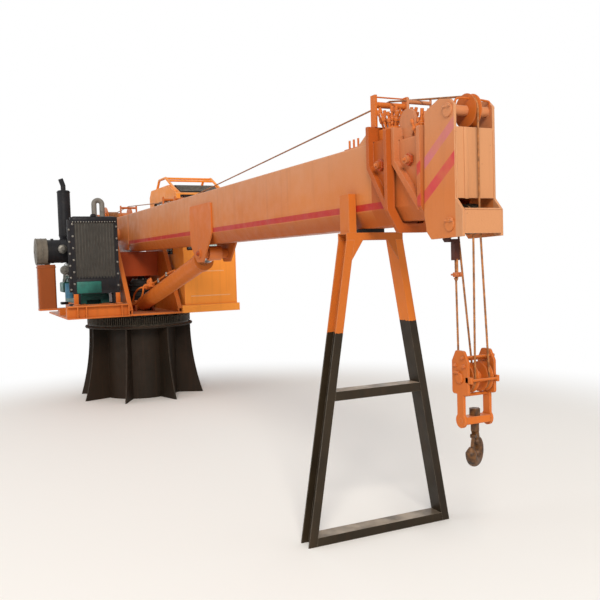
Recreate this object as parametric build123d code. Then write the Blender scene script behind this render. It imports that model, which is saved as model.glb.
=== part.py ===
from build123d import *
import math
import os

# Telescopic marine crane, stowed on its boom rest. Millimetres, +Z up: the origin is on the slewing axis at
# deck level, +X runs along the stowed boom, the cab stands on +Y and the engine on -Y.

# Fits
RUN_FIT = 0.05
SEAT_GAP = 0.3
SIDE_PLAY = 2.0
ROPE_GAP = 0.5

# Pedestal
PEDESTAL_RADIUS = 432.0
PEDESTAL_WALL = 20.0
PEDESTAL_HEIGHT = 825.0
FLANGE_THICKNESS = 25.0
FLANGE_RADIUS = 627.0
FLANGE_LIP = 20.0
GUSSET_COUNT = 8
GUSSET_FIRST_ANGLE = 17.0
GUSSET_THICKNESS = 14.0
GUSSET_FOOT_REACH = 311.0
GUSSET_TOP_REACH = 183.0

# Slewing ring
GEAR_MODULE = 8.0
GEAR_TEETH = 150
PINION_TEETH = 15
PRESSURE_ANGLE = 20.0
GEAR_ADDENDUM = 0.8
PINION_ADDENDUM = 1.0
DEDENDUM = 1.25
BACKLASH = 1.0
TOOTH_WIDTH = 85.0
PINION_OVERLAP = 3.0
RING_SHOULDER = 20.0
RING_WALL = 50.0
INNER_RING_WALL = 60.0
RING_FLOOR_GAP = 10.0
RING_BOLT_COUNT = 24
RING_BOLT_RADIUS = 10.0
RING_BOLT_HEAD = 14.0
RING_BOLT_HEAD_RADIUS = 18.0
DECK_CLEARANCE = 35.0

# Turntable
DECK_THICKNESS = 20.0
DECK_REAR = 800.0
DECK_FRONT = 800.0
TURRET_HALF_GAP = 255.0
TURRET_PLATE = 18.0
TURRET_FLANGE = 48.0
TURRET_FLANGE_THICKNESS = 14.0
TURRET_FOOT_FRONT = 780.0
TURRET_FOOT_REAR = 600.0
TURRET_HEAD_RADIUS = 140.0
TURRET_HEAD_CORNERS = (40, 75, 105, 150)
TURRET_KNEE_X = 190.0
TURRET_KNEE_RISE = 756.0
TURRET_TOE = 34.0
CROSS_BOX_REAR = 540.0
CROSS_BOX_LENGTH = 100.0
CROSS_BOX_HEIGHT = 430.0
CROSS_BOX_WALL = 12.0
CROSS_BEAM_REAR = 60.0
CROSS_BEAM_DEPTH = 40.0
CROSS_BEAM_RISE = 405.0
CROSS_BEAM_HEIGHT = 270.0
SLEW_DRIVE_RADIUS = 88.0
SLEW_DRIVE_HEIGHT = 230.0
SLEW_CASE_HEIGHT = 126.0
SLEW_FOOT_RADIUS = 100.0
SLEW_FOOT = 22.0
SLEW_MOTOR_RADIUS = 55.0
PINION_SHAFT_RADIUS = 30.0
PINION_SHAFT_RISE = 90.0
PINION_SHAFT_END = 6.0
SWIVEL_X = -165.0
SWIVEL_Y = 83.0
SWIVEL_RADIUS = 138.0
SWIVEL_HEIGHT = 360.0
SWIVEL_CORNER = 41.0
SWIVEL_NECK = 40.0

# Boom
PIVOT_X = -400.0
BOOM_AXIS_RISE = 920.0
PIVOT_RADIUS = 45.0
PIVOT_HEAD_RADIUS = 61.0
PIVOT_HEAD = 16.0
HUB_WALL = 32.0
BOOM_HALF_WIDTH = 115.0
BOOM_HEIGHT = 440.0
BOOM_FLAT_HALF = 65.0
BOOM_BEND_RISE = 85.0
BOOM_BEND_RADIUS = 12.0
BOOM_WALL = 8.0
SECTION_GAP = 12.0
BOOM_TAIL = 300.0
BOOM_REACH = 6255.0
TAIL_CORNER = 90.0
ROOT_DOUBLER_FRONT = 530.0
ROOT_DOUBLER = 6.0
BULKHEAD = 15.0
BULKHEAD_GAP = 12.0
SECTION_REAR_STEP = 60.0
SLIDE_PAD_LENGTH = 90.0
COLLAR_FLANGE = 25.0
COLLAR_PROUD = 38.0
COLLAR_RIB = 25.0
COLLAR_RIB_PROUD = 30.0
COLLAR_LENGTH = 205.0
COLLAR_TOP_RISE = 77.0
COLLAR_FIN_LENGTH = 140.0
COLLAR_FIN_INSET = 3.0
COLLAR_TOP_DEPTH = 125.0
ADJUSTER_RADIUS = 20.0
ADJUSTER_LENGTH = 34.0
MID_COLLAR_LENGTH = 247.0
MID_COLLAR_PROUD = 34.0
MID_COLLAR_TOP_RISE = 60.0
MID_CHEEK_RADIUS = 70.0
MID_CHEEK_AHEAD = 72.0
MID_CHEEK_RISE = 75.0
COLLAR_STOP_GAP = 3.0

# Luffing cylinder
LUFF_LUG_X = 3200.0
LUFF_LUG_DROP = 298.0
LUFF_LUG_TOP = 120.0
LUFF_LUG_REAR = 250.0
LUFF_LUG_FRONT = 320.0
LUFF_LUG_RADIUS = 77.0
LUFF_LUG_PLATE = 14.0
LUFF_LUG_CORNER = 31.0
LUFF_PIN_RADIUS = 32.0
LUFF_PIN_HEAD_RADIUS = 42.0
LUFF_PIN_HEAD = 10.0
LUFF_BOSS_RADIUS = 45.0
ROD_EYE_RADIUS = 62.0
ROD_EYE_HALF = 58.0
ROD_RADIUS = 50.0
ROD_SHOWN = 286.0
BARREL_RADIUS = 84.0
BARREL_WALL = 14.0
BARREL_GLAND = 90.0
BARREL_GLAND_PROUD = 8.0
BARREL_CAP = 40.0
PISTON_LENGTH = 80.0
PISTON_REST_GAP = 20.0
FOOT_X = 150.0
FOOT_RISE = 62.0
FOOT_EYE_RADIUS = 60.0
FOOT_EYE_HALF = 86.0
FOOT_PIN_RADIUS = 35.0
FOOT_PIN_END = 6.0
FOOT_NECK = 118.0
FOOT_NECK_RADIUS = 48.0
JAW_GAP = 6.0
JAW_PLATE = 20.0
JAW_REAR = 150.0
JAW_FRONT = 170.0
JAW_SHOULDER = 102.0
JAW_LIP_ANGLE = 12.0
JAW_HEEL_ANGLE = 125.0

# Telescoping cylinder inside the boom
TELESCOPE_ROD_RADIUS = 30.0
TELESCOPE_BARREL_RADIUS = 50.0
TELESCOPE_BARREL_WALL = 10.0
TELESCOPE_ROD_LENGTH = 5000.0
TELESCOPE_GLAND = 15.0
TELESCOPE_PISTON = 40.0

# Rope, winch and guides
ROPE_RADIUS = 5.0
WINCH_BACK = 250.0
WINCH_RISE = 190.0
DRUM_CORE_RADIUS = 120.0
DRUM_FLANGE_RADIUS = 190.0
DRUM_HALF_LENGTH = 150.0
DRUM_FLANGE = 12.0
DRUM_SHAFT_RADIUS = 30.0
WINDING_TURNS = 12
WINDING_PITCH = 10.9
ROPE_RUN_START = 60.0
WINCH_GAP = 8.0
WINCH_PLATE = 12.0
WINCH_CHEEK_RADIUS = 110.0
WINCH_GEARCASE_RADIUS = 95.0
WINCH_GEARCASE_LENGTH = 80.0
WINCH_MOTOR_RADIUS = 60.0
WINCH_MOTOR_LENGTH = 120.0
ROOT_ROLLER_AHEAD = 80.0
ROOT_ROLLER_RISE = 105.0
ROOT_ROLLER_RADIUS = 13.0
ROLLER_HALF = 90.0
ROLLER_POST = 14.0
TOP_ROLLER_AHEAD = 2000.0
TOP_ROLLER_RADIUS = 13.0
SHOE_AHEAD = 2400.0
SHOE_BAR_RADIUS = 8.0
SHOE_RISE = 7.0
GUIDE_BACK = 195.0
GUIDE_RISE = 195.0
GUIDE_ROLLER_RADIUS = 16.0
GUIDE_POST_HALF = 22.0
GUIDE_POST_RISE = 32.0
KEEPER_RADIUS = 4.0
MID_GUIDE_HALF = 60.0
MID_ROLLER_RADIUS = 10.0
MID_ARM_RADIUS = 6.0

# Head
HEAD_HALF_GAP = 100.0
HEAD_PLATE = 13.0
HEAD_FRAME = 12.0
HEAD_STOP_GAP = 7.0
HEAD_NOSE = 35.0
HEAD_CHIN = 47.0
HEAD_CHIN_DROP = 79.0
HEAD_CHIN_RISE = 39.0
HEAD_FACE_RISE = 91.0
HEAD_HEEL_DROP = 185.0
HEAD_HEEL_STEP = 18.0
HEAD_SOLE_DROP = 85.0
HEAD_SOLE_CORNER = 35.0
HEAD_CROWN_RISE = 327.0
HEAD_CROWN_REAR = 110.0
HEAD_BROW = (30.0, 14.0)
HEAD_BROW_DROP = 42.0
HEAD_BACK_DROP = 40.0
HEAD_SHEAVE_RISE = 266.0
HEAD_SHEAVE_GROOVE = 66.0
SHEAVE_LIP = 6.0
SHEAVE_WIDTH = 33.0
GROOVE_GAP = 0.8
GROOVE_FLARE = 35.0
SHEAVE_PIN_RADIUS = 15.0
SPACER_RADIUS = 24.0
LOWER_SHEAVE_X = 6315.0
LOWER_SHEAVE_DROP = 218.0
FALL_RADIUS = 58.0
RETURN_LANE = -36.0
SOCKET_LANE = -48.0
BLOCK_LANE = 40.0

# Hook block, measured down from the lower head sheave's pin
BLOCK_DROP = 718.5
BLOCK_HALF_WIDTH = 80.0
BLOCK_PLATE = 12.0
BLOCK_DEPTH = 57.0
BLOCK_TOP = 126.0
BLOCK_BOTTOM = 74.0
BLOCK_SHOULDER = 76.0
BLOCK_CROWN = 28.0
BLOCK_CORNER = 14.0
BLOCK_PIN_END = 8.0
BLOCK_STRAP_WIDTH = 46.0
TIE_RADIUS = 8.0
CROSSHEAD_DROP = 194.0
CROSSHEAD_HEIGHT = 34.0
CROSSHEAD_HALF_DEPTH = 32.0
CROSSHEAD_CORNER = 7.0
TRUNNION_RADIUS = 12.0
STRAP_END_RADIUS = 34.0
SHANK_RADIUS = 14.0
NUT_RADIUS = 26.0
NUT_HEIGHT = 32.0
HOOK_NECK = 80.0
HOOK_COLLAR = 39.0
HOOK_COLLAR_RADIUS = 19.0
HOOK_SHOULDER_RADIUS = 17.0
HOOK_BOWL_RADIUS = 48.0
HOOK_SECTION = 25.0
HOOK_TIP_RADIUS = 9.0
HOOK_OFFSET = -10.0
HOOK_SHOULDER_ANGLE = 50.0
HOOK_SWEEP = 230.0
HOOK_TURN = 32.0
LATCH_RISE = 22.0
LATCH_PIN_RADIUS = 4.0
LATCH_EYE_RADIUS = 7.0
LATCH_TONGUE_HALF = 3.0
LATCH_END_IN = 16.0
LATCH_END_RISE = 22.0
LATCH_HALF = 7.0
LATCH_EAR = 5.0
SOCKET_TOP_DROP = 87.0
SOCKET_LENGTH = 97.0
SOCKET_HALF = 14.0
SOCKET_STRAP = 6.0

# Boom rest
REST_FRONT = 5484.0
REST_CHANNEL_DEPTH = 100.0
REST_FLANGE = 48.0
REST_SKIN = 8.0
REST_FOOT_HALF = 462.0
REST_TAPER = 0.171
REST_CROSSBAR_Z = 780.0
REST_CROSSBAR_HEIGHT = 50.0
REST_BEAM_HEIGHT = 40.0
REST_PAD = 20.0
REST_PAD_HALF = 60.0
REST_GUSSET = 110.0
HORN_WIDTH = 46.0
HORN_HEIGHT = 210.0
HORN_GAP = 3.0

# Engine side
BED_OUTER = 960.0
BED_BEAM_HEIGHT = 140.0
BED_RAIL_WIDTH = 80.0
BED_TAIL = 50.0
ENGINE_Y = -600.0
ENGINE_HALF_WIDTH = 170.0
ENGINE_REAR = -550.0
ENGINE_FRONT = 400.0
ENGINE_TOP_RISE = 740.0
ENGINE_FOOT_WIDTH = 90.0
ENGINE_SUMP_REAR = 150.0
ENGINE_SUMP_FRONT = 100.0
ENGINE_SUMP_DROP = 60.0
ENGINE_HEAD_REAR = 120.0
ENGINE_HEAD_FRONT = 40.0
ENGINE_COVER_EDGE = 20.0
ENGINE_COVER_CORNER = 24.0
ENGINE_NOSE = 20.0
ENGINE_NOSE_DEPTH = 60.0
ENGINE_SUMP_RISE = 160.0
ENGINE_SHOULDER_RISE = 560.0
ENGINE_COVER_HALF = 90.0
ENGINE_COVER_HEIGHT = 70.0
FAN_RISE = 600.0
FAN_RADIUS = 200.0
FAN_HUB_RADIUS = 50.0
FAN_BLADES = 6
FAN_BLADE_CHORD = 90.0
FAN_BLADE = 6.0
FAN_BLADE_ROOT = 35.0
FAN_PITCH = 25.0
FAN_HUB_LENGTH = 60.0
FAN_SHAFT_RADIUS = 20.0
FAN_SHAFT_DEPTH = 60.0
RADIATOR_FRONT = 600.0
RADIATOR_DEPTH = 75.0
RADIATOR_HALF_WIDTH = 252.0
RADIATOR_BOTTOM_RISE = 237.0
RADIATOR_TOP_RISE = 1078.0
RADIATOR_RIM = 38.0
RADIATOR_LEG = 50.0
CORE_INSET = 8.0
FILLER_RADIUS = 26.0
FILLER_HEIGHT = 30.0
TANK_X = 200.0
TANK_DEPTH = 130.0
TANK_INNER = 980.0
TANK_WIDTH = 190.0
TANK_HEIGHT = 490.0
TANK_SHELF_RISE = 60.0
TANK_SHELF = 20.0
TANK_CORNER = 22.0
CLEANER_BODY_RADIUS = 130.0
CLEANER_CAP_RADIUS = 146.0
CLEANER_CAP = 120.0
CLEANER_OUTER = 1180.0
CLEANER_INNER = 850.0
CLEANER_PIPE_RADIUS = 45.0
PORT_RISE = 60.0
BREATHER_RADIUS = 30.0
BREATHER_BEND = 46.0
BREATHER_END_RISE = 120.0
BREATHER_X = -10.0
BREATHER_TOP_RISE = 1340.0
MUFFLER_X = -50.0
MUFFLER_Y = -812.0
MUFFLER_RADIUS = 72.0
MUFFLER_CORNER = 20.0
MUFFLER_BOTTOM_RISE = 895.0
MUFFLER_HEIGHT = 530.0
MUFFLER_CONE = 110.0
EXHAUST_RADIUS = 28.0
TAILPIPE_HEIGHT = 132.0
TAILPIPE_BEND = 55.0
TAILPIPE_LEAN = 26.0
ALTERNATOR_RADIUS = 62.0
ALTERNATOR_LENGTH = 160.0
PULLEY_RADIUS = 53.0
PULLEY_WIDTH = 30.0
FILTER_RADIUS = 45.0
FILTER_HEIGHT = 170.0
FILTER_BACK = 320.0
FILTER_RISE = 60.0
PUMP_REAR = 160.0
PUMP_LENGTH = 260.0
PUMP_DEPTH = 80.0
PUMP_HEIGHT = 120.0
PUMP_CORNER = 18.0

# Cab
CAB_INNER = 345.0
CAB_WIDTH = 630.0
CAB_REAR = -600.0
CAB_FRONT = 770.0
CAB_FRAME_HEIGHT = 85.0
CAB_HEIGHT = 1410.0
CAB_PANEL_HEIGHT = 600.0
CAB_BROW_X = 577.0
CAB_BROW_DROP = 125.0
CAB_ROOF_FRONT = 260.0
CAB_REAR_CORNER = 85.0
CAB_WALL = 20.0
WINDOW_RIM = 55.0
FRONT_RIM_BELOW = 33.0
FRONT_RIM_ABOVE = 22.0
SILL_MITRE = 0.1
BROW_MITRE = 0.4
ROOF_MITRE = 0.2
GLASS = 6.0
GLASS_INSET = 7.0
DOOR_REAR = -350.0
DOOR_FRONT = 350.0
DOOR_SILL = 40.0
DOOR_HEIGHT = 1230.0
DOOR_GAP = 3.0
HINGE_END_SHARE = 0.2
KNUCKLE_INSET = 1.0
CUT_OVER = 1.0
HINGE_PIN_RADIUS = 8.0
HINGE_WALL = 6.0
HINGE_HEIGHT = 60.0
HINGE_LUG = 10.0
GUARD_RADIUS = 15.0
GUARD_RAIL_RADIUS = 12.5
GUARD_RISE = 104.0
GUARD_BEND = 45.0
GUARD_REAR = -327.0
GUARD_TOP_REAR = -215.0
GUARD_TOP_FRONT = 75.0
GUARD_FRONT = 480.0
GUARD_LOWER_RAIL = 0.22
SEAT_X = -120.0
SEAT_HALF_WIDTH = 220.0
SEAT_RISE = 330.0
SEAT_COLUMN_RADIUS = 60.0
SEAT_PAN_HALF = 150.0
SEAT_PAN = 20.0
SEAT_CUSHION = 110.0
SEAT_CROWN = 18.0
SEAT_DRAW = 12.6
SEAT_BACK_HEIGHT = 480.0
SEAT_BACK_DEPTH = 99.0
SEAT_BACK_HALF_WIDTH = 198.0
SEAT_SPINE = 12.0
SEAT_SPINE_HALF = 40.0
SEAT_SPINE_RISE = 336.0
CONSOLE_X = 470.0
CONSOLE_DEPTH = 150.0
CONSOLE_HALF_WIDTH = 150.0
CONSOLE_HEIGHT = 560.0
LEVER_SPACING = 140.0
LEVER_PIN_RADIUS = 6.0
LEVER_HUB_RADIUS = 16.0
LEVER_HUB_HALF = 14.0
LEVER_EAR = 8.0
LEVER_LENGTH = 200.0
LEVER_STEM_RADIUS = 7.0
LEVER_KNOB_RADIUS = 21.0

# Heights and places worked out from the sizes above
RING_BASE = PEDESTAL_HEIGHT + FLANGE_THICKNESS
TOOTH_BASE = RING_BASE + RING_SHOULDER
RING_TOP = TOOTH_BASE + TOOTH_WIDTH
DECK_BOTTOM = RING_TOP + DECK_CLEARANCE
DECK_TOP = DECK_BOTTOM + DECK_THICKNESS
DECK_HALF_WIDTH = TURRET_HALF_GAP + TURRET_FLANGE + SIDE_PLAY
GEAR_PITCH_RADIUS = GEAR_MODULE * GEAR_TEETH / 2
PINION_PITCH_RADIUS = GEAR_MODULE * PINION_TEETH / 2
GEAR_ROOT_RADIUS = GEAR_PITCH_RADIUS - DEDENDUM * GEAR_MODULE
RING_BORE_RADIUS = GEAR_ROOT_RADIUS - RING_WALL
INNER_RING_RADIUS = RING_BORE_RADIUS - ROPE_GAP
RING_BOLT_CIRCLE = RING_BORE_RADIUS + RING_WALL / 2
DRIVE_X = -(GEAR_PITCH_RADIUS + PINION_PITCH_RADIUS)
BOOM_AXIS = DECK_TOP + BOOM_AXIS_RISE
BOOM_TOP = BOOM_AXIS + BOOM_HEIGHT / 2
BOOM_BOTTOM = BOOM_AXIS - BOOM_HEIGHT / 2
BOOM_REAR = PIVOT_X - BOOM_TAIL
BASE_FRONT = PIVOT_X + BOOM_REACH
SECTION_INSET = BOOM_WALL + SECTION_GAP
HUB_RADIUS = PIVOT_RADIUS + HUB_WALL
BULKHEAD_X = PIVOT_X + HUB_RADIUS + BULKHEAD_GAP
MID_REAR = BULKHEAD_X + BULKHEAD + SECTION_REAR_STEP
MID_REAR_PLATE = TELESCOPE_GLAND
TIP_REAR = MID_REAR + SECTION_REAR_STEP
MID_COLLAR_REAR = BASE_FRONT + COLLAR_STOP_GAP
MID_FRONT = MID_COLLAR_REAR + MID_COLLAR_LENGTH
MID_GUIDE_X = MID_COLLAR_REAR + MID_CHEEK_AHEAD
HEAD_REAR = MID_FRONT + HEAD_STOP_GAP
HEAD_FRONT = LOWER_SHEAVE_X + HEAD_NOSE
LUG = (PIVOT_X + LUFF_LUG_X, BOOM_AXIS - LUFF_LUG_DROP)
FOOT = (FOOT_X, DECK_TOP + FOOT_RISE)
LUFF_LENGTH = math.dist(LUG, FOOT)
LUFF_DIRECTION = ((FOOT[0] - LUG[0]) / LUFF_LENGTH, (FOOT[1] - LUG[1]) / LUFF_LENGTH)
WINCH = (BOOM_REAR - WINCH_BACK, BOOM_AXIS + WINCH_RISE)
WINDING_RADIUS = DRUM_CORE_RADIUS + ROPE_GAP + ROPE_RADIUS
ROOT_ROLLER = (PIVOT_X + ROOT_ROLLER_AHEAD, BOOM_TOP + ROOT_ROLLER_RISE)
ROOT_CORNER = (ROOT_ROLLER[0], ROOT_ROLLER[1] + ROOT_ROLLER_RADIUS + ROPE_GAP + ROPE_RADIUS)
SHOE_CORNER = (PIVOT_X + SHOE_AHEAD, BOOM_TOP + SHOE_RISE)
GUIDE = (BASE_FRONT - GUIDE_BACK, BOOM_TOP + GUIDE_RISE)
GUIDE_CORNER = (GUIDE[0], GUIDE[1] + GUIDE_ROLLER_RADIUS + ROPE_GAP + ROPE_RADIUS)
HEAD_SHEAVE = (LOWER_SHEAVE_X + FALL_RADIUS - HEAD_SHEAVE_GROOVE, BOOM_AXIS + HEAD_SHEAVE_RISE)
HANG = (LOWER_SHEAVE_X, BOOM_AXIS - LOWER_SHEAVE_DROP)
BLOCK = (LOWER_SHEAVE_X, HANG[1] - BLOCK_DROP)
CROSSHEAD = (LOWER_SHEAVE_X, BLOCK[1] - CROSSHEAD_DROP)
REST_BEAM_TOP = BOOM_BOTTOM - SEAT_GAP - REST_PAD
REST_BEAM_BOTTOM = REST_BEAM_TOP - REST_BEAM_HEIGHT
REST_BACK = REST_FRONT - REST_CHANNEL_DEPTH
CAB_FLOOR = DECK_BOTTOM + CAB_FRAME_HEIGHT
CAB_OUTER = CAB_INNER + CAB_WIDTH
CAB_ROOF = CAB_FLOOR + CAB_HEIGHT
CAB_SILL = CAB_FLOOR + CAB_PANEL_HEIGHT
CAB_BROW = CAB_ROOF - CAB_BROW_DROP
CAB_CENTRE = (CAB_INNER + CAB_OUTER) / 2
DOOR_BOTTOM = CAB_FLOOR + DOOR_SILL
HINGE = (DOOR_REAR - HINGE_PIN_RADIUS - HINGE_WALL, CAB_OUTER + HINGE_PIN_RADIUS + HINGE_WALL)
LEVER_Z = CAB_FLOOR + CONSOLE_HEIGHT + LEVER_HUB_RADIUS + SIDE_PLAY
FAN = (ENGINE_Y, DECK_TOP + FAN_RISE)
ENGINE_SHOULDER = DECK_TOP + ENGINE_SHOULDER_RISE
BED_TOP = DECK_BOTTOM + BED_BEAM_HEIGHT
ENGINE_TOP = DECK_TOP + ENGINE_TOP_RISE
ENGINE_HEAD_TOP = ENGINE_TOP - ENGINE_COVER_HEIGHT
ENGINE_HEAD_HALF = ENGINE_COVER_HALF + 2 * BREATHER_RADIUS + SIDE_PLAY
TANK_FLOOR = DECK_TOP + TANK_SHELF_RISE + TANK_SHELF
CLEANER_AXIS = TANK_FLOOR + TANK_HEIGHT + CLEANER_CAP_RADIUS + SIDE_PLAY


def block(x, y, z):
    """Box from three (low, high) spans."""
    spans = (x, y, z)
    centre = [(low + high) / 2 for low, high in spans]
    return Pos(*centre) * Box(*[high - low for low, high in spans])


def side_plate(points, y, radius=0.0):
    """Plate with an (x, z) outline between two y values, its corners rounded on request."""
    face = make_face(Polyline(*points, close=True))
    if radius:
        face = fillet(face.vertices(), radius)
    return extrude(Plane.XZ.offset(-y[1]) * face, amount=y[1] - y[0])


def front_plate(points, x, radius=0.0):
    """Plate with a (y, z) outline between two x values."""
    face = make_face(Polyline(*points, close=True))
    if radius:
        face = fillet(face.vertices(), radius)
    return extrude(Plane.YZ.offset(x[0]) * face, amount=x[1] - x[0])


def round_x(y, z, radius, x):
    return Pos((x[0] + x[1]) / 2, y, z) * Rot(0, 90, 0) * Cylinder(radius, x[1] - x[0])


def round_y(x, z, radius, y):
    return Pos(x, (y[0] + y[1]) / 2, z) * Rot(90, 0, 0) * Cylinder(radius, y[1] - y[0])


def round_z(x, y, radius, z):
    return Pos(x, y, (z[0] + z[1]) / 2) * Cylinder(radius, z[1] - z[0])


def rod_between(start, end, radius):
    """Round bar from one point to another."""
    line = Vector(*end) - Vector(*start)
    upright = Cylinder(radius, line.length, align=(Align.CENTER, Align.CENTER, Align.MIN))
    return Plane(origin=start, z_dir=line) * upright


def both_sides(shape):
    """The shape and its mirror image across the boom's middle plane."""
    return shape + mirror(shape, about=Plane.XZ)


def group(*shapes):
    """Separate solids kept together in one piece."""
    solids = [solid for shape in shapes for solid in shape.solids()]
    return Compound(children=solids)


def swept_rope(corners, radii, y=0.0):
    """Tight rope through (x, z) corners, rounded at each pulley it goes over."""
    points = [(x, y, z) for x, z in corners]
    path = FilletPolyline(*points, radius=radii)
    start = Plane(origin=path @ 0, z_dir=path % 0)
    return sweep(start * Circle(ROPE_RADIUS), path=path)


# Pedestal

def pedestal():
    bore = PEDESTAL_RADIUS - PEDESTAL_WALL
    tube = round_z(0, 0, PEDESTAL_RADIUS, (0, PEDESTAL_HEIGHT))
    tube -= round_z(0, 0, bore, (0, PEDESTAL_HEIGHT))
    flange_span = (PEDESTAL_HEIGHT, RING_BASE)
    flange = round_z(0, 0, FLANGE_RADIUS, flange_span)
    flange -= round_z(0, 0, bore - FLANGE_LIP, flange_span)
    return tube + flange - ring_bolt_shanks(flange_span, SEAT_GAP)


def pedestal_gussets():
    foot = PEDESTAL_RADIUS + GUSSET_FOOT_REACH
    top = PEDESTAL_RADIUS + GUSSET_TOP_REACH
    flare = foot - top
    bend = (flare**2 + PEDESTAL_HEIGHT**2) / (2 * flare)
    half = PEDESTAL_HEIGHT / 2
    waist = top + bend - math.sqrt(bend**2 - half**2)
    inside = PEDESTAL_RADIUS - PEDESTAL_WALL / 2
    outline = [
        Line((inside, 0), (foot, 0)),
        ThreePointArc((foot, 0), (waist, half), (top, PEDESTAL_HEIGHT)),
        Polyline((top, PEDESTAL_HEIGHT), (inside, PEDESTAL_HEIGHT), (inside, 0)),
    ]
    plate = extrude(Plane.XZ * make_face(outline), amount=GUSSET_THICKNESS / 2, both=True)
    plate -= round_z(0, 0, PEDESTAL_RADIUS, (0, PEDESTAL_HEIGHT))
    step = 360 / GUSSET_COUNT
    return group(*[Rot(0, 0, GUSSET_FIRST_ANGLE + step * i) * plate for i in range(GUSSET_COUNT)])


# Slewing ring

def gear_face(teeth, addendum, turn):
    """Involute gear outline with room between the flanks; turn is the angle of its first tooth."""
    pitch = GEAR_MODULE * teeth / 2
    base = pitch * math.cos(math.radians(PRESSURE_ANGLE))
    root = pitch - DEDENDUM * GEAR_MODULE
    tip = pitch + addendum * GEAR_MODULE
    steps = 4

    def involute(radius):
        angle = math.acos(min(1.0, base / radius))
        return math.tan(angle) - angle

    half_at_pitch = math.pi / (2 * teeth) - BACKLASH / (4 * pitch)

    def half_angle(radius):
        return half_at_pitch + involute(pitch) - involute(max(radius, base))

    radii = [root + (tip - root) * i / steps for i in range(steps + 1)]
    points = []
    for tooth in range(teeth):
        centre = math.radians(turn) + 2 * math.pi * tooth / teeth
        flank = [(radius, centre - half_angle(radius)) for radius in radii]
        flank += [(radius, centre + half_angle(radius)) for radius in reversed(radii)]
        points += [(radius * math.cos(angle), radius * math.sin(angle)) for radius, angle in flank]
    return make_face(Polyline(*points, close=True))


def ring_bolt_shanks(span, clearance):
    shank = round_z(RING_BOLT_CIRCLE, 0, RING_BOLT_RADIUS + clearance, span)
    step = 360 / RING_BOLT_COUNT
    shanks = [Rot(0, 0, step * (i + 0.5)) * shank for i in range(RING_BOLT_COUNT)]
    return shanks[0].fuse(*shanks[1:])


def slew_ring_gear():
    half_pitch = 180 / GEAR_TEETH
    outline = gear_face(GEAR_TEETH, GEAR_ADDENDUM, half_pitch)
    teeth = extrude(Plane.XY.offset(TOOTH_BASE) * outline, TOOTH_WIDTH)
    ring = teeth + round_z(0, 0, GEAR_ROOT_RADIUS, (RING_BASE, TOOTH_BASE))
    ring -= round_z(0, 0, RING_BORE_RADIUS, (RING_BASE, RING_TOP))
    ring -= ring_bolt_shanks((RING_BASE, RING_TOP), SEAT_GAP)
    head = extrude(RegularPolygon(RING_BOLT_HEAD_RADIUS, 6), RING_BOLT_HEAD)
    head = Pos(RING_BOLT_CIRCLE, 0, RING_TOP) * head
    bolt = head + round_z(RING_BOLT_CIRCLE, 0, RING_BOLT_RADIUS, (PEDESTAL_HEIGHT, RING_TOP))
    step = 360 / RING_BOLT_COUNT
    bolts = [Rot(0, 0, step * (i + 0.5)) * bolt for i in range(RING_BOLT_COUNT)]
    return group(ring, *bolts)


def slew_ring_inner():
    span = (RING_BASE + RING_FLOOR_GAP, DECK_BOTTOM)
    return round_z(0, 0, INNER_RING_RADIUS, span) - round_z(0, 0, INNER_RING_RADIUS - INNER_RING_WALL, span)


def slew_pinion():
    span = (TOOTH_BASE - PINION_OVERLAP, RING_TOP + PINION_OVERLAP)
    teeth = extrude(Plane.XY.offset(span[0]) * gear_face(PINION_TEETH, PINION_ADDENDUM, 0), span[1] - span[0])
    shaft = round_z(DRIVE_X, 0, PINION_SHAFT_RADIUS, (span[1], DECK_TOP + PINION_SHAFT_RISE))
    return Pos(DRIVE_X, 0, 0) * teeth + shaft


def slew_drive():
    case_top = DECK_TOP + SLEW_CASE_HEIGHT
    bore_top = DECK_TOP + PINION_SHAFT_RISE + PINION_SHAFT_END
    case = round_z(DRIVE_X, 0, SLEW_DRIVE_RADIUS, (DECK_TOP, case_top))
    case += round_z(DRIVE_X, 0, SLEW_FOOT_RADIUS, (DECK_TOP, DECK_TOP + SLEW_FOOT))
    case += round_z(DRIVE_X, 0, SLEW_MOTOR_RADIUS, (case_top, DECK_TOP + SLEW_DRIVE_HEIGHT))
    return case - round_z(DRIVE_X, 0, PINION_SHAFT_RADIUS + RUN_FIT, (DECK_TOP, bore_top))


# Turntable

def turntable_deck():
    plate = block((-DECK_REAR, DECK_FRONT), (-DECK_HALF_WIDTH, DECK_HALF_WIDTH), (DECK_BOTTOM, DECK_TOP))
    plate -= round_z(DRIVE_X, 0, PINION_SHAFT_RADIUS + SIDE_PLAY, (DECK_BOTTOM, DECK_TOP))
    frame_x = (CAB_REAR - CAB_WALL, DECK_FRONT)
    frame_y = (DECK_HALF_WIDTH, CAB_OUTER + CAB_WALL)
    frame = block(frame_x, frame_y, (DECK_BOTTOM, CAB_FLOOR))
    hollow_x = (frame_x[0] + CAB_WALL, frame_x[1] - CAB_WALL)
    hollow_y = (frame_y[0] + CAB_WALL, frame_y[1] - CAB_WALL)
    return plate + frame - block(hollow_x, hollow_y, (DECK_BOTTOM, CAB_FLOOR - CAB_WALL))


def turret_outline():
    head = []
    for corner in TURRET_HEAD_CORNERS:
        angle = math.radians(corner)
        x = PIVOT_X + TURRET_HEAD_RADIUS * math.cos(angle)
        head.append((x, BOOM_AXIS + TURRET_HEAD_RADIUS * math.sin(angle)))
    toe = (TURRET_FOOT_FRONT, DECK_TOP + TURRET_TOE)
    knee = (TURRET_KNEE_X, DECK_TOP + TURRET_KNEE_RISE)
    return [(TURRET_FOOT_FRONT, DECK_TOP), toe, knee, *head, (-TURRET_FOOT_REAR, DECK_TOP)]


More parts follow.
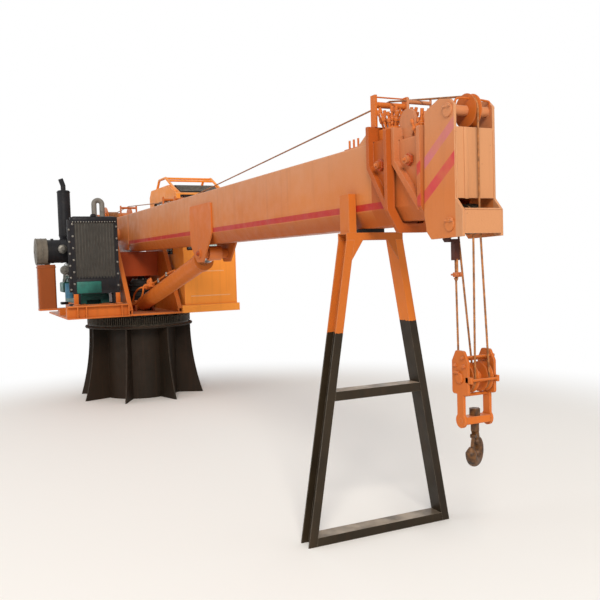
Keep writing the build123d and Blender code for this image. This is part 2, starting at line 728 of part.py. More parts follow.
def turret_flange_outline(toe, knee, crown):
    """Strip along the front edge of a turret plate, mitred at the knee."""
    normals = []
    for start, end in ((toe, knee), (knee, crown)):
        length = math.dist(start, end)
        normals.append(((end[1] - start[1]) / length, (start[0] - end[0]) / length))
    (a, b), (c, d) = normals
    spread = 1 + a * c + b * d
    lifts = [(c, d), ((a + c) / spread, (b + d) / spread), (a, b)]
    lifted = [
        (point[0] + lift[0] * TURRET_FLANGE_THICKNESS, point[1] + lift[1] * TURRET_FLANGE_THICKNESS)
        for point, lift in zip((crown, knee, toe), lifts)
    ]
    return [toe, knee, crown, *lifted]


def turret_plate(side):
    outline = turret_outline()
    plate_y = (TURRET_HALF_GAP, TURRET_HALF_GAP + TURRET_PLATE)
    plate = side_plate(outline, plate_y)
    flange_y = (TURRET_HALF_GAP, TURRET_HALF_GAP + TURRET_FLANGE)
    plate += side_plate(turret_flange_outline(*outline[1:4]), flange_y)
    plate -= round_y(PIVOT_X, BOOM_AXIS, PIVOT_RADIUS, plate_y)
    return plate if side > 0 else mirror(plate, about=Plane.XZ)


def turret_crossbox():
    y = (-TURRET_HALF_GAP, TURRET_HALF_GAP)
    box_x = (-CROSS_BOX_REAR, CROSS_BOX_LENGTH - CROSS_BOX_REAR)
    box_z = (DECK_TOP, DECK_TOP + CROSS_BOX_HEIGHT)
    hollow_x = (box_x[0] + CROSS_BOX_WALL, box_x[1] - CROSS_BOX_WALL)
    rear = block(box_x, y, box_z) - block(hollow_x, y, (box_z[0], box_z[1] - CROSS_BOX_WALL))
    beam_x = (-CROSS_BEAM_REAR, CROSS_BEAM_DEPTH - CROSS_BEAM_REAR)
    beam_z = DECK_TOP + CROSS_BEAM_RISE
    beam = block(beam_x, y, (beam_z, beam_z + CROSS_BEAM_HEIGHT))
    return group(rear, beam, jaw_cheek(1), jaw_cheek(-1))


def jaw_cheek(side):
    """Deck cheek with the open seat that the luffing cylinder's foot pin lies in."""
    x, z = FOOT
    seat = FOOT_PIN_RADIUS + SEAT_GAP
    heel = math.radians(JAW_HEEL_ANGLE)
    lip = math.radians(JAW_LIP_ANGLE)
    heel_point = (x + seat * math.cos(heel), z - seat * math.sin(heel))
    lip_point = (x + seat * math.cos(lip), z + seat * math.sin(lip))
    outline = [
        (x - JAW_REAR, DECK_TOP),
        (x + JAW_FRONT, DECK_TOP),
        (x + JAW_SHOULDER, lip_point[1]),
        lip_point,
        (x, z),
        heel_point,
        (x - JAW_REAR, heel_point[1]),
    ]
    low = FOOT_EYE_HALF + JAW_GAP
    cheek = side_plate(outline, (low, low + JAW_PLATE)) - round_y(x, z, seat, (low, low + JAW_PLATE))
    return cheek if side > 0 else mirror(cheek, about=Plane.XZ)


def boom_pivot_pin():
    end = TURRET_HALF_GAP + TURRET_PLATE
    pin = round_y(PIVOT_X, BOOM_AXIS, PIVOT_RADIUS, (-end, end))
    return pin + both_sides(round_y(PIVOT_X, BOOM_AXIS, PIVOT_HEAD_RADIUS, (end, end + PIVOT_HEAD)))


def swivel_joint():
    top = DECK_TOP + SWIVEL_HEIGHT
    drum = round_z(SWIVEL_X, SWIVEL_Y, SWIVEL_RADIUS, (DECK_TOP, top))
    drum = fillet(drum.edges().group_by(Axis.Z)[-1], SWIVEL_CORNER)
    return drum + round_z(SWIVEL_X, SWIVEL_Y, SWIVEL_CORNER, (top, top + SWIVEL_NECK))


# Boom

def boom_face(inset):
    """Boom section outline moved inward by inset: straight sides, cut lower corners, flat bottom."""
    cut = math.atan2(BOOM_BEND_RISE, BOOM_HALF_WIDTH - BOOM_FLAT_HALF)
    half = BOOM_HALF_WIDTH - inset
    flat = BOOM_FLAT_HALF - inset * math.tan(cut / 2)
    bend = BOOM_BOTTOM + BOOM_BEND_RISE + inset * math.tan((math.pi / 2 - cut) / 2)
    low, high = BOOM_BOTTOM + inset, BOOM_TOP - inset
    outline = [(-half, high), (-half, bend), (-flat, low), (flat, low), (half, bend), (half, high)]
    return fillet(make_face(Polyline(*outline, close=True)).vertices(), BOOM_BEND_RADIUS)


def boom_prism(inset, x):
    return extrude(Plane.YZ.offset(x[0]) * boom_face(inset), x[1] - x[0])


def slide_pads(inset, x, gap_side):
    """Wear pads of one section towards its neighbour: on its bore (+1) or on its outside (-1)."""
    reach = SECTION_GAP - SEAT_GAP
    outer = inset + BOOM_WALL if gap_side > 0 else inset
    half = BOOM_HALF_WIDTH - outer
    high = BOOM_TOP - outer
    low = BOOM_BOTTOM + outer
    width = BOOM_FLAT_HALF - (inset + SECTION_INSET)
    inward = -gap_side * reach
    side_z = (BOOM_AXIS, BOOM_AXIS + SLIDE_PAD_LENGTH)
    top = block(x, (-width, width), tuple(sorted((high, high + inward))))
    bottom = block(x, (-width, width), tuple(sorted((low, low - inward))))
    side = block(x, tuple(sorted((half, half + inward))), side_z)
    return top + bottom + both_sides(side)


def collar(inset, proud, rear, front, top):
    """Collar round a section's mouth: flange, upright rib and sloping side ribs."""
    flange_x = (front - COLLAR_FLANGE, front)
    flange = boom_prism(inset - proud, flange_x) - boom_prism(inset, flange_x)
    half = BOOM_HALF_WIDTH - inset
    reach = half + COLLAR_RIB_PROUD
    knee = BOOM_TOP - COLLAR_TOP_DEPTH
    foot = BOOM_BOTTOM + BOOM_BEND_RISE
    outline = [
        (rear, top),
        (rear + COLLAR_RIB, top),
        (rear + COLLAR_RIB, knee),
        (flange_x[0], foot + COLLAR_RIB),
        (flange_x[0], foot - COLLAR_RIB),
        (rear, knee - COLLAR_RIB / 2),
    ]
    rib = both_sides(side_plate(outline, (half, reach)))
    return flange + rib + block((rear, rear + COLLAR_RIB), (-reach, reach), (BOOM_TOP - inset, top))


def adjusters(inset, rear, front):
    """Pad screws on both sides of a section, between the collar's rib and flange."""
    half = BOOM_HALF_WIDTH - inset
    x = (rear + COLLAR_RIB + front - COLLAR_FLANGE) / 2
    screw_y = (half, half + ADJUSTER_LENGTH)
    return both_sides(round_y(x, BOOM_AXIS + SLIDE_PAD_LENGTH, ADJUSTER_RADIUS, screw_y))


def boom_base():
    tube = boom_prism(0, (BOOM_REAR, BASE_FRONT))
    tail = [
        (BOOM_REAR, BOOM_BOTTOM),
        (BASE_FRONT, BOOM_BOTTOM),
        (BASE_FRONT, BOOM_TOP),
        (BOOM_REAR + TAIL_CORNER, BOOM_TOP),
        (BOOM_REAR, BOOM_TOP - TAIL_CORNER),
    ]
    tube &= side_plate(tail, (-BOOM_HALF_WIDTH, BOOM_HALF_WIDTH))
    tube -= boom_prism(BOOM_WALL, (BULKHEAD_X + BULKHEAD, BASE_FRONT))
    tube -= boom_prism(BOOM_WALL, (BOOM_REAR + TAIL_CORNER + BOOM_WALL, BULKHEAD_X))
    doubler = block(
        (BOOM_REAR + TAIL_CORNER, PIVOT_X + ROOT_DOUBLER_FRONT),
        (BOOM_HALF_WIDTH, BOOM_HALF_WIDTH + ROOT_DOUBLER),
        (BOOM_BOTTOM + BOOM_BEND_RISE, BOOM_TOP - BOOM_BEND_RADIUS),
    )
    pad_end = BASE_FRONT - COLLAR_FLANGE
    tube += both_sides(doubler) + slide_pads(0, (pad_end - SLIDE_PAD_LENGTH, pad_end), 1)
    hub_y = (SIDE_PLAY - TURRET_HALF_GAP, TURRET_HALF_GAP - SIDE_PLAY)
    hub = round_y(PIVOT_X, BOOM_AXIS, HUB_RADIUS, hub_y)
    tube -= hub
    hub -= round_y(PIVOT_X, BOOM_AXIS, PIVOT_RADIUS + RUN_FIT, hub_y)
    rear = BASE_FRONT - COLLAR_LENGTH
    top = BOOM_TOP + COLLAR_TOP_RISE
    fin_foot = BOOM_TOP - BOOM_BEND_RADIUS + COLLAR_FIN_INSET
    fin_x = (rear - COLLAR_FIN_LENGTH, rear)
    fin = [(fin_x[0], BOOM_TOP), (fin_x[0], fin_foot), (rear, fin_foot), (rear, top)]
    fin_y = (BOOM_HALF_WIDTH - BOOM_BEND_RADIUS - COLLAR_FIN_INSET, BOOM_HALF_WIDTH - COLLAR_FIN_INSET)
    fins = both_sides(side_plate(fin, fin_y) - boom_prism(0, fin_x))
    ring = collar(0, COLLAR_PROUD, rear, BASE_FRONT, top) + fins
    return group(tube, hub, ring, adjusters(0, rear, BASE_FRONT))


def mid_guide():
    """Rope roller of the middle section on thin arms from two round cheeks."""
    x = MID_GUIDE_X
    foot = BOOM_TOP - SECTION_INSET
    cheek_z = foot + MID_CHEEK_RISE
    roller_z = rope_height(x) - ROPE_RADIUS / math.cos(head_rope_angle()) - ROPE_GAP - MID_ROLLER_RADIUS
    cheek_y = (MID_GUIDE_HALF, MID_GUIDE_HALF + ROLLER_POST)
    arm_y = MID_GUIDE_HALF + ROLLER_POST / 2
    cheek = round_y(x, cheek_z, MID_CHEEK_RADIUS, cheek_y)
    cheek += block((x - MID_CHEEK_RADIUS / 2, x + MID_CHEEK_RADIUS / 2), cheek_y, (foot, cheek_z))
    cheek += round_z(x, arm_y, MID_ARM_RADIUS, (cheek_z, roller_z + 2 * MID_ROLLER_RADIUS))
    return both_sides(cheek) + round_y(x, roller_z, MID_ROLLER_RADIUS, (-arm_y, arm_y))


def boom_mid():
    inset = SECTION_INSET
    tube = boom_prism(inset, (MID_REAR, MID_FRONT))
    tube -= boom_prism(inset + BOOM_WALL, (MID_REAR + MID_REAR_PLATE, MID_FRONT))
    tube -= round_x(0, BOOM_AXIS, TELESCOPE_ROD_RADIUS + SIDE_PLAY, (MID_REAR, MID_REAR + MID_REAR_PLATE))
    pad_end = MID_FRONT - COLLAR_FLANGE
    tube += slide_pads(inset, (pad_end - SLIDE_PAD_LENGTH, pad_end), 1)
    tube += slide_pads(inset, (MID_REAR, MID_REAR + SLIDE_PAD_LENGTH), -1)
    top = BOOM_TOP - inset + MID_COLLAR_TOP_RISE
    ring = collar(inset, MID_COLLAR_PROUD, MID_COLLAR_REAR, MID_FRONT, top) + mid_guide()
    return group(tube, ring, adjusters(inset, MID_COLLAR_REAR, MID_FRONT))


def boom_tip():
    inset = 2 * SECTION_INSET
    front = HEAD_SHEAVE[0] - HEAD_SHEAVE_GROOVE - ROPE_RADIUS - SHEAVE_LIP
    tube = boom_prism(inset, (TIP_REAR, front)) - boom_prism(inset + BOOM_WALL, (TIP_REAR, front))
    return tube + slide_pads(inset, (TIP_REAR, TIP_REAR + SLIDE_PAD_LENGTH), -1)


def head_outline():
    """Side plate of the boom head, from its heel round the chin at the lower sheaves to the crown."""
    chin = HEAD_FRONT + HEAD_CHIN
    step = HEAD_REAR + HEAD_HEEL_STEP
    sole = HANG[1] - HEAD_SOLE_DROP
    crown = BOOM_AXIS + HEAD_CROWN_RISE
    return [
        (HEAD_REAR, BOOM_AXIS - HEAD_HEEL_DROP),
        (step, sole + HEAD_SOLE_CORNER),
        (step + HEAD_SOLE_CORNER, sole),
        (chin, HANG[1] - HEAD_CHIN_DROP),
        (chin, HANG[1] + HEAD_CHIN_RISE),
        (HEAD_FRONT, HANG[1] + HEAD_FACE_RISE),
        (HEAD_FRONT, crown - HEAD_BROW_DROP),
        (HEAD_FRONT - HEAD_BROW[0], crown - HEAD_BROW[1]),
        (HEAD_FRONT - HEAD_CROWN_REAR, crown),
        (step, crown - HEAD_BACK_DROP),
    ]


def boom_head():
    inner, outer = HEAD_HALF_GAP, HEAD_HALF_GAP + HEAD_PLATE
    plates = both_sides(side_plate(head_outline(), (inner, outer)))
    frame_x = (HEAD_REAR + HEAD_FRAME, HEAD_REAR + 2 * HEAD_FRAME)
    frame_top = BOOM_TOP - 2 * SECTION_INSET + 3 * HEAD_FRAME
    frame = block(frame_x, (-inner, inner), (BOOM_AXIS - HEAD_HEEL_DROP, frame_top))
    frame -= boom_prism(2 * SECTION_INSET, frame_x)
    sheave_reach = HEAD_SHEAVE_GROOVE + ROPE_RADIUS + SHEAVE_LIP
    face_z = (HANG[1] + HEAD_FACE_RISE, HEAD_SHEAVE[1] - sheave_reach - SIDE_PLAY)
    face = block((HEAD_FRONT - HEAD_FRAME, HEAD_FRONT), (-inner, inner), face_z)
    cover_end = HEAD_FRONT + HEAD_CHIN + SIDE_PLAY
    cover_z = (HANG[1] - HEAD_CHIN_DROP + HEAD_FRAME, HANG[1] + HEAD_CHIN_RISE)
    cover = block((cover_end - HEAD_FRAME, cover_end), (-inner, inner), cover_z)
    head = plates + frame + face + cover
    for centre, lanes in ((HEAD_SHEAVE, (0,)), (HANG, (RETURN_LANE, 0))):
        head += round_y(*centre, SHEAVE_PIN_RADIUS, (-outer, outer))
        ends = [-inner]
        for lane in lanes:
            ends += [lane - SHEAVE_WIDTH / 2 - SEAT_GAP, lane + SHEAVE_WIDTH / 2 + SEAT_GAP]
        ends.append(inner)
        for i in range(0, len(ends), 2):
            head += round_y(*centre, SPACER_RADIUS, (ends[i], ends[i + 1]))
    return head


# Luffing cylinder

def luff_lugs():
    x, z = LUG
    top = BOOM_AXIS + LUFF_LUG_TOP
    outline = [
        (x - LUFF_LUG_REAR, top),
        (x - LUFF_LUG_REAR, BOOM_BOTTOM),
        (x - LUFF_LUG_RADIUS, z - LUFF_LUG_RADIUS),
        (x + LUFF_LUG_RADIUS, z - LUFF_LUG_RADIUS),
        (x + LUFF_LUG_FRONT, BOOM_BOTTOM + BOOM_BEND_RISE),
        (x + LUFF_LUG_FRONT, top),
    ]
    outer = BOOM_HALF_WIDTH + LUFF_LUG_PLATE
    side = side_plate(outline, (BOOM_HALF_WIDTH, outer), LUFF_LUG_CORNER)
    side += round_y(x, z, LUFF_BOSS_RADIUS, (ROD_EYE_HALF + SIDE_PLAY, BOOM_HALF_WIDTH))
    side += round_y(x, z, LUFF_PIN_HEAD_RADIUS, (outer, outer + LUFF_PIN_HEAD))
    return both_sides(side) + round_y(x, z, LUFF_PIN_RADIUS, (-outer, outer))


def along_cylinder(distance):
    """Point in the boom's middle plane, measured from the lug pin towards the foot pin."""
    return (LUG[0] + LUFF_DIRECTION[0] * distance, 0, LUG[1] + LUFF_DIRECTION[1] * distance)


def luff_rod():
    piston_end = LUFF_LENGTH - FOOT_NECK - BARREL_CAP - PISTON_REST_GAP
    bore = BARREL_RADIUS - BARREL_WALL
    rod = rod_between(along_cylinder(0), along_cylinder(piston_end), ROD_RADIUS)
    rod += rod_between(along_cylinder(piston_end - PISTON_LENGTH), along_cylinder(piston_end), bore - RUN_FIT)
    rod += round_y(*LUG, ROD_EYE_RADIUS, (-ROD_EYE_HALF, ROD_EYE_HALF))
    return rod - round_y(*LUG, LUFF_PIN_RADIUS + RUN_FIT, (-ROD_EYE_HALF, ROD_EYE_HALF))


def luff_barrel():
    start = along_cylinder(ROD_SHOWN)
    gland_end = along_cylinder(ROD_SHOWN + BARREL_GLAND)
    end = along_cylinder(LUFF_LENGTH - FOOT_NECK)
    bore_end = along_cylinder(LUFF_LENGTH - FOOT_NECK - BARREL_CAP)
    barrel = rod_between(start, end, BARREL_RADIUS)
    barrel += rod_between(start, gland_end, BARREL_RADIUS + BARREL_GLAND_PROUD)
    barrel -= rod_between(gland_end, bore_end, BARREL_RADIUS - BARREL_WALL)
    barrel -= rod_between(start, gland_end, ROD_RADIUS + RUN_FIT)
    neck = rod_between(end, along_cylinder(LUFF_LENGTH), FOOT_NECK_RADIUS)
    pin_half = FOOT_EYE_HALF + JAW_GAP + JAW_PLATE + FOOT_PIN_END
    eye = round_y(*FOOT, FOOT_EYE_RADIUS, (-FOOT_EYE_HALF, FOOT_EYE_HALF))
    return barrel + neck + eye + round_y(*FOOT, FOOT_PIN_RADIUS, (-pin_half, pin_half))


# Telescoping cylinder

def telescope_rod():
    start = BULKHEAD_X + BULKHEAD
    end = start + TELESCOPE_ROD_LENGTH
    rod = round_x(0, BOOM_AXIS, TELESCOPE_ROD_RADIUS, (start, end))
    bore = TELESCOPE_BARREL_RADIUS - TELESCOPE_BARREL_WALL
    return rod + round_x(0, BOOM_AXIS, bore - RUN_FIT, (end - TELESCOPE_PISTON, end))


def telescope_barrel():
    start = MID_REAR + MID_REAR_PLATE
    end = BULKHEAD_X + BULKHEAD + TELESCOPE_ROD_LENGTH + 2 * TELESCOPE_PISTON
    bore = TELESCOPE_BARREL_RADIUS - TELESCOPE_BARREL_WALL
    barrel = round_x(0, BOOM_AXIS, TELESCOPE_BARREL_RADIUS, (start, end))
    barrel -= round_x(0, BOOM_AXIS, bore, (start + TELESCOPE_GLAND, end - TELESCOPE_GLAND))
    return barrel - round_x(0, BOOM_AXIS, TELESCOPE_ROD_RADIUS + RUN_FIT, (start, start + TELESCOPE_GLAND))


# Winch and rope

def winch_frame():
    inner = DRUM_HALF_LENGTH + DRUM_FLANGE + WINCH_GAP
    outer = inner + WINCH_PLATE
    x, z = WINCH
    bracket_z = (BOOM_BOTTOM + BOOM_BEND_RISE, BOOM_TOP - TAIL_CORNER)
    bracket_x = (BOOM_REAR - WINCH_PLATE, BOOM_REAR)
    bracket = block(bracket_x, (-outer, outer), bracket_z)
    outline = [
        (BOOM_REAR, bracket_z[0]),
        (BOOM_REAR, bracket_z[1]),
        (x + WINCH_CHEEK_RADIUS, z + WINCH_CHEEK_RADIUS),
        (x - WINCH_CHEEK_RADIUS, z + WINCH_CHEEK_RADIUS),
        (x - WINCH_CHEEK_RADIUS, z - WINCH_CHEEK_RADIUS),
    ]
    cheek = both_sides(side_plate(outline, (inner, outer)))
    cheek -= round_y(x, z, DRUM_SHAFT_RADIUS + RUN_FIT, (-outer, outer))
    case_end = -outer - WINCH_GEARCASE_LENGTH
    gearcase = round_y(x, z, WINCH_GEARCASE_RADIUS, (case_end, -outer))
    gearcase += round_y(x, z, WINCH_MOTOR_RADIUS, (case_end - WINCH_MOTOR_LENGTH, case_end))
    return group(bracket + cheek, gearcase)


def winch_drum():
    x, z = WINCH
    reach = DRUM_HALF_LENGTH + DRUM_FLANGE
    end = reach + WINCH_GAP + WINCH_PLATE - SEAT_GAP
    drum = round_y(x, z, DRUM_CORE_RADIUS, (-DRUM_HALF_LENGTH, DRUM_HALF_LENGTH))
    drum += both_sides(round_y(x, z, DRUM_FLANGE_RADIUS, (DRUM_HALF_LENGTH, reach)))
    return drum + round_y(x, z, DRUM_SHAFT_RADIUS, (-end, end))


def drum_rope_angle():
    """Slope of the rope from the drum's top to the first roller, in radians."""
    dx, dz = ROOT_CORNER[0] - WINCH[0], ROOT_CORNER[1] - WINCH[1]
    return math.atan2(dz, dx) - math.asin(WINDING_RADIUS / math.hypot(dx, dz))


def biarc(start, start_tangent, end, end_tangent):
    """Two arcs that leave and reach two points along the given unit tangents."""
    chord = end - start
    tangents = start_tangent + end_tangent
    spread = 2 * (1 - start_tangent.dot(end_tangent))
    along = chord.dot(tangents)
    reach = (-along + math.sqrt(along**2 + spread * chord.dot(chord))) / spread
    first = start + start_tangent * reach
    second = end - end_tangent * reach
    middle = (first + second) / 2
    joint_tangent = (second - first).normalized()
    return [TangentArc(start, middle, tangent=start_tangent), TangentArc(middle, end, tangent=joint_tangent)]


def drum_rope():
    """Outer layer of rope on the drum, ending at the drum's top in the boom's middle plane."""
    x, z = WINCH
    last = math.pi / 2 + drum_rope_angle()
    climb = WINDING_PITCH / (2 * math.pi)
    slope = math.hypot(WINDING_RADIUS, climb)

    def point(turned):
        angle = last + turned
        across = (WINDING_RADIUS * math.cos(angle), WINDING_RADIUS * math.sin(angle))
        return Vector(x + across[0], -climb * turned, z + across[1])

    def tangent(turned):
        angle = last + turned
        return Vector(WINDING_RADIUS * math.sin(angle), climb, -WINDING_RADIUS * math.cos(angle)) / slope

    ends = [2 * math.pi * WINDING_TURNS, 0.0]
    stations = [math.pi * i for i in range(2 * WINDING_TURNS, -1, -1)]
    straight = 2 * ROPE_RADIUS
    edges = [Line(point(ends[0]) - tangent(ends[0]) * straight, point(ends[0]))]
    for start, end in zip(stations, stations[1:]):
        edges += biarc(point(start), tangent(start), point(end), tangent(end))
    edges.append(Line(point(0.0), point(0.0) + tangent(0.0) * straight))
    path = Wire([part for edge in edges for part in edge.edges()])
    start = Plane(origin=path @ 0, z_dir=path % 0)
    return sweep(start * Circle(ROPE_RADIUS), path=path)


def head_rope_angle():
    """Slope of the rope from the boom's front guide to the head sheave, in radians."""
    dx, dz = HEAD_SHEAVE[0] - GUIDE_CORNER[0], HEAD_SHEAVE[1] - GUIDE_CORNER[1]
    return math.atan2(dz, dx) + math.asin(HEAD_SHEAVE_GROOVE / math.hypot(dx, dz))


def rope_height(x):
    """Height of the rope's centre between the boom's front guide and the head sheave."""
    return GUIDE_CORNER[1] + math.tan(head_rope_angle()) * (x - GUIDE_CORNER[0])


def guide_exit():
    x = GUIDE_CORNER[0] + COLLAR_RIB
    return (x, rope_height(x))


def mid_guide_exit():
    x = MID_GUIDE_X + COLLAR_RIB
    return (x, rope_height(x))


def hoist_rope_base():
    slope = drum_rope_angle()
    direction = (math.cos(slope), math.sin(slope))
    run = math.hypot(ROOT_CORNER[0] - WINCH[0], ROOT_CORNER[1] - WINCH[1])
    free = math.sqrt(run**2 - WINDING_RADIUS**2) - ROPE_RUN_START
    start = (ROOT_CORNER[0] - direction[0] * free, ROOT_CORNER[1] - direction[1] * free)
    bends = [ROOT_ROLLER_RADIUS + ROPE_GAP + ROPE_RADIUS, SHOE_BAR_RADIUS + ROPE_GAP + ROPE_RADIUS,
             GUIDE_ROLLER_RADIUS + ROPE_GAP + ROPE_RADIUS]
    return swept_rope([start, ROOT_CORNER, SHOE_CORNER, GUIDE_CORNER, guide_exit()], bends)


def hoist_rope_mid():
    start, end = guide_exit(), mid_guide_exit()
    return rod_between((start[0], 0, start[1]), (end[0], 0, end[1]), ROPE_RADIUS)


def hoist_rope_tip():
    front = HEAD_SHEAVE[0] + HEAD_SHEAVE_GROOVE
    return swept_rope([mid_guide_exit(), (front, rope_height(front)), (front, HANG[1])], [HEAD_SHEAVE_GROOVE])


def roller_stand(x, z, radius, foot, half=ROLLER_POST, rise=ROLLER_POST):
    """Roller across the boom between two posts that stand above it by rise."""
    top = z + radius + rise
    post = block((x - half, x + half), (ROLLER_HALF, ROLLER_HALF + ROLLER_POST), (foot, top))
    return both_sides(post) + round_y(x, z, radius, (-ROLLER_HALF, ROLLER_HALF))


def rope_guides():
    root = roller_stand(*ROOT_ROLLER, ROOT_ROLLER_RADIUS, BOOM_TOP)
    roller_x = PIVOT_X + TOP_ROLLER_AHEAD
    share = (roller_x - ROOT_CORNER[0]) / (SHOE_CORNER[0] - ROOT_CORNER[0])
    rope_z = ROOT_CORNER[1] + share * (SHOE_CORNER[1] - ROOT_CORNER[1])
    clear = ROPE_RADIUS + ROPE_GAP
    top = roller_stand(roller_x, rope_z + clear + TOP_ROLLER_RADIUS, TOP_ROLLER_RADIUS, BOOM_TOP)
    shoe = roller_stand(SHOE_CORNER[0], SHOE_CORNER[1] + clear + SHOE_BAR_RADIUS, SHOE_BAR_RADIUS, BOOM_TOP)
    foot = BOOM_TOP + COLLAR_TOP_RISE
    guide = roller_stand(*GUIDE, GUIDE_ROLLER_RADIUS, foot, GUIDE_POST_HALF, GUIDE_POST_RISE)
    keeper_z = GUIDE[1] + GUIDE_ROLLER_RADIUS + GUIDE_POST_RISE - 2 * KEEPER_RADIUS
    keeper = round_y(GUIDE[0], keeper_z, KEEPER_RADIUS, (-ROLLER_HALF, ROLLER_HALF))
    return group(root, top, shoe, guide + keeper)


# Sheaves, falls and hook

def sheave(centre, lane, groove, pin_radius):
    """Grooved rope sheave on a pin across the boom; groove is the radius of the rope's centre line."""
    half = SHEAVE_WIDTH / 2
    rim = groove + ROPE_RADIUS + SHEAVE_LIP
    throat = ROPE_RADIUS + GROOVE_GAP
    lean = math.radians(GROOVE_FLARE)
    start = (groove - throat * math.sin(lean), throat * math.cos(lean))
    mouth = start[1] + (rim - start[0]) * math.tan(lean)
    flare = [(start[0], -start[1]), (rim, -mouth), (rim, mouth), start]
    wheel = round_y(0, 0, rim, (-half, half))
    wheel -= Rot(90, 0, 0) * Torus(groove, throat)
    wheel -= revolve(make_face(Polyline(*flare, close=True)), Axis.Y)
    wheel -= round_y(0, 0, pin_radius + RUN_FIT, (-half, half))
    return Pos(centre[0], lane, centre[1]) * wheel


def rope_half_turn(centre, lane, upper):
    """Rope lying in a sheave's groove over its top or under its bottom."""
    ring = Plane(origin=(centre[0], lane, centre[1]), z_dir=(0, 1, 0)) * Torus(FALL_RADIUS, ROPE_RADIUS)
    reach = 2 * FALL_RADIUS
    span = (centre[1], centre[1] + reach) if upper else (centre[1] - reach, centre[1])
    return ring & block((centre[0] - reach, centre[0] + reach), (lane - reach, lane + reach), span)


def fall(x, low_lane, low, high_lane, high):
    """One part of rope between two heights, clear of the turns that it runs into."""
    end_gap = GROOVE_GAP
    return rod_between((x, low_lane, low + end_gap), (x, high_lane, high - end_gap), ROPE_RADIUS)


def falls():
    """Four parts of rope between the head and the hook block, with their turns round the sheaves."""
    front, rear = LOWER_SHEAVE_X + FALL_RADIUS, LOWER_SHEAVE_X - FALL_RADIUS
    top, bottom = HANG[1], BLOCK[1]
    return group(
        fall(front, BLOCK_LANE, bottom, 0, top),
        rope_half_turn(BLOCK, BLOCK_LANE, False),
        fall(rear, BLOCK_LANE, bottom, RETURN_LANE, top),
        rope_half_turn(HANG, RETURN_LANE, True),
        fall(front, -BLOCK_LANE, bottom, RETURN_LANE, top),
        rope_half_turn(BLOCK, -BLOCK_LANE, False),
        fall(rear, -BLOCK_LANE, bottom, SOCKET_LANE, top - SOCKET_TOP_DROP - SOCKET_LENGTH),
    )


def wedge_socket():
    """Dead end of the rope: wedge body on two straps from the lower head pin."""
    rear = LOWER_SHEAVE_X - FALL_RADIUS
    lane = SOCKET_LANE
    top = HANG[1] - SOCKET_TOP_DROP
    body_x = (rear - SOCKET_HALF, rear + SOCKET_HALF)
    body = block(body_x, (lane - SOCKET_HALF, lane + SOCKET_HALF), (top - SOCKET_LENGTH, top))
    strap_y = (-HEAD_HALF_GAP + SIDE_PLAY, -HEAD_HALF_GAP + SIDE_PLAY + SOCKET_STRAP)
    eye = 2 * SPACER_RADIUS
    lug = [
        (HANG[0] - eye, HANG[1]),
        (HANG[0] + eye, HANG[1]),
        (body_x[1], top - SOCKET_HALF),
        (body_x[0], top - SOCKET_HALF),
        (rear - 2 * SOCKET_HALF, top),
    ]
    strap = side_plate(lug, strap_y) + round_y(*HANG, eye, strap_y)
    strap -= round_y(*HANG, SPACER_RADIUS + RUN_FIT, strap_y)
    bridge = block(body_x, (strap_y[0], lane), (top - SOCKET_HALF, top))
    return strap + bridge + body


def block_frame():
    x, z = BLOCK
    inner, outer = BLOCK_HALF_WIDTH - BLOCK_PLATE, BLOCK_HALF_WIDTH
    outline = [
        (x - BLOCK_DEPTH, z - BLOCK_BOTTOM),
        (x + BLOCK_DEPTH, z - BLOCK_BOTTOM),
        (x + BLOCK_DEPTH, z + BLOCK_SHOULDER),
        (x + BLOCK_CROWN, z + BLOCK_TOP),
        (x - BLOCK_CROWN, z + BLOCK_TOP),
        (x - BLOCK_DEPTH, z + BLOCK_SHOULDER),
    ]
    plate = side_plate(outline, (inner, outer), BLOCK_CORNER)
    strap_half = BLOCK_STRAP_WIDTH / 2
    strap = block((x - strap_half, x + strap_half), (inner, outer), (CROSSHEAD[1], z))
    strap += round_y(*CROSSHEAD, STRAP_END_RADIUS, (inner, outer))
    side = plate + strap - round_y(*CROSSHEAD, TRUNNION_RADIUS + RUN_FIT, (inner, outer))
    pin_half = outer + BLOCK_PIN_END
    frame = both_sides(side) + round_y(x, z, SHEAVE_PIN_RADIUS, (-pin_half, pin_half))
    middle = BLOCK_LANE - SHEAVE_WIDTH / 2 - SEAT_GAP
    edge = BLOCK_LANE + SHEAVE_WIDTH / 2 + SEAT_GAP
    frame += round_y(x, z, SPACER_RADIUS, (-middle, middle))
    frame += both_sides(round_y(x, z, SPACER_RADIUS, (edge, inner)))
    rim = FALL_RADIUS + ROPE_RADIUS + SHEAVE_LIP
    tie_places = [(x, z + rim + 2 * TIE_RADIUS), (x, z - rim - TIE_RADIUS - SIDE_PLAY)]
    for tie in tie_places:
        frame += round_y(*tie, TIE_RADIUS, (-outer, outer))
    return frame


def crosshead():
    x, z = CROSSHEAD
    inner = BLOCK_HALF_WIDTH - BLOCK_PLATE - SIDE_PLAY
    half = CROSSHEAD_HEIGHT / 2
    body = block((x - CROSSHEAD_HALF_DEPTH, x + CROSSHEAD_HALF_DEPTH), (-inner, inner), (z - half, z + half))
    body = fillet(body.edges().filter_by(Axis.Y), CROSSHEAD_CORNER)
    body += round_y(x, z, TRUNNION_RADIUS, (-BLOCK_HALF_WIDTH, BLOCK_HALF_WIDTH))
    return body - round_z(x, 0, SHANK_RADIUS + RUN_FIT, (z - half, z + half))


def hook_centre():
    return (HOOK_OFFSET, CROSSHEAD[1] - CROSSHEAD_HEIGHT / 2 - HOOK_NECK - HOOK_BOWL_RADIUS)


def turned_hook(shape):
    """Turns a piece of the hook about its shank, to the angle that it hangs at."""
    x = CROSSHEAD[0]
    return Pos(x, 0, 0) * Rot(0, 0, HOOK_TURN) * Pos(-x, 0, 0) * shape


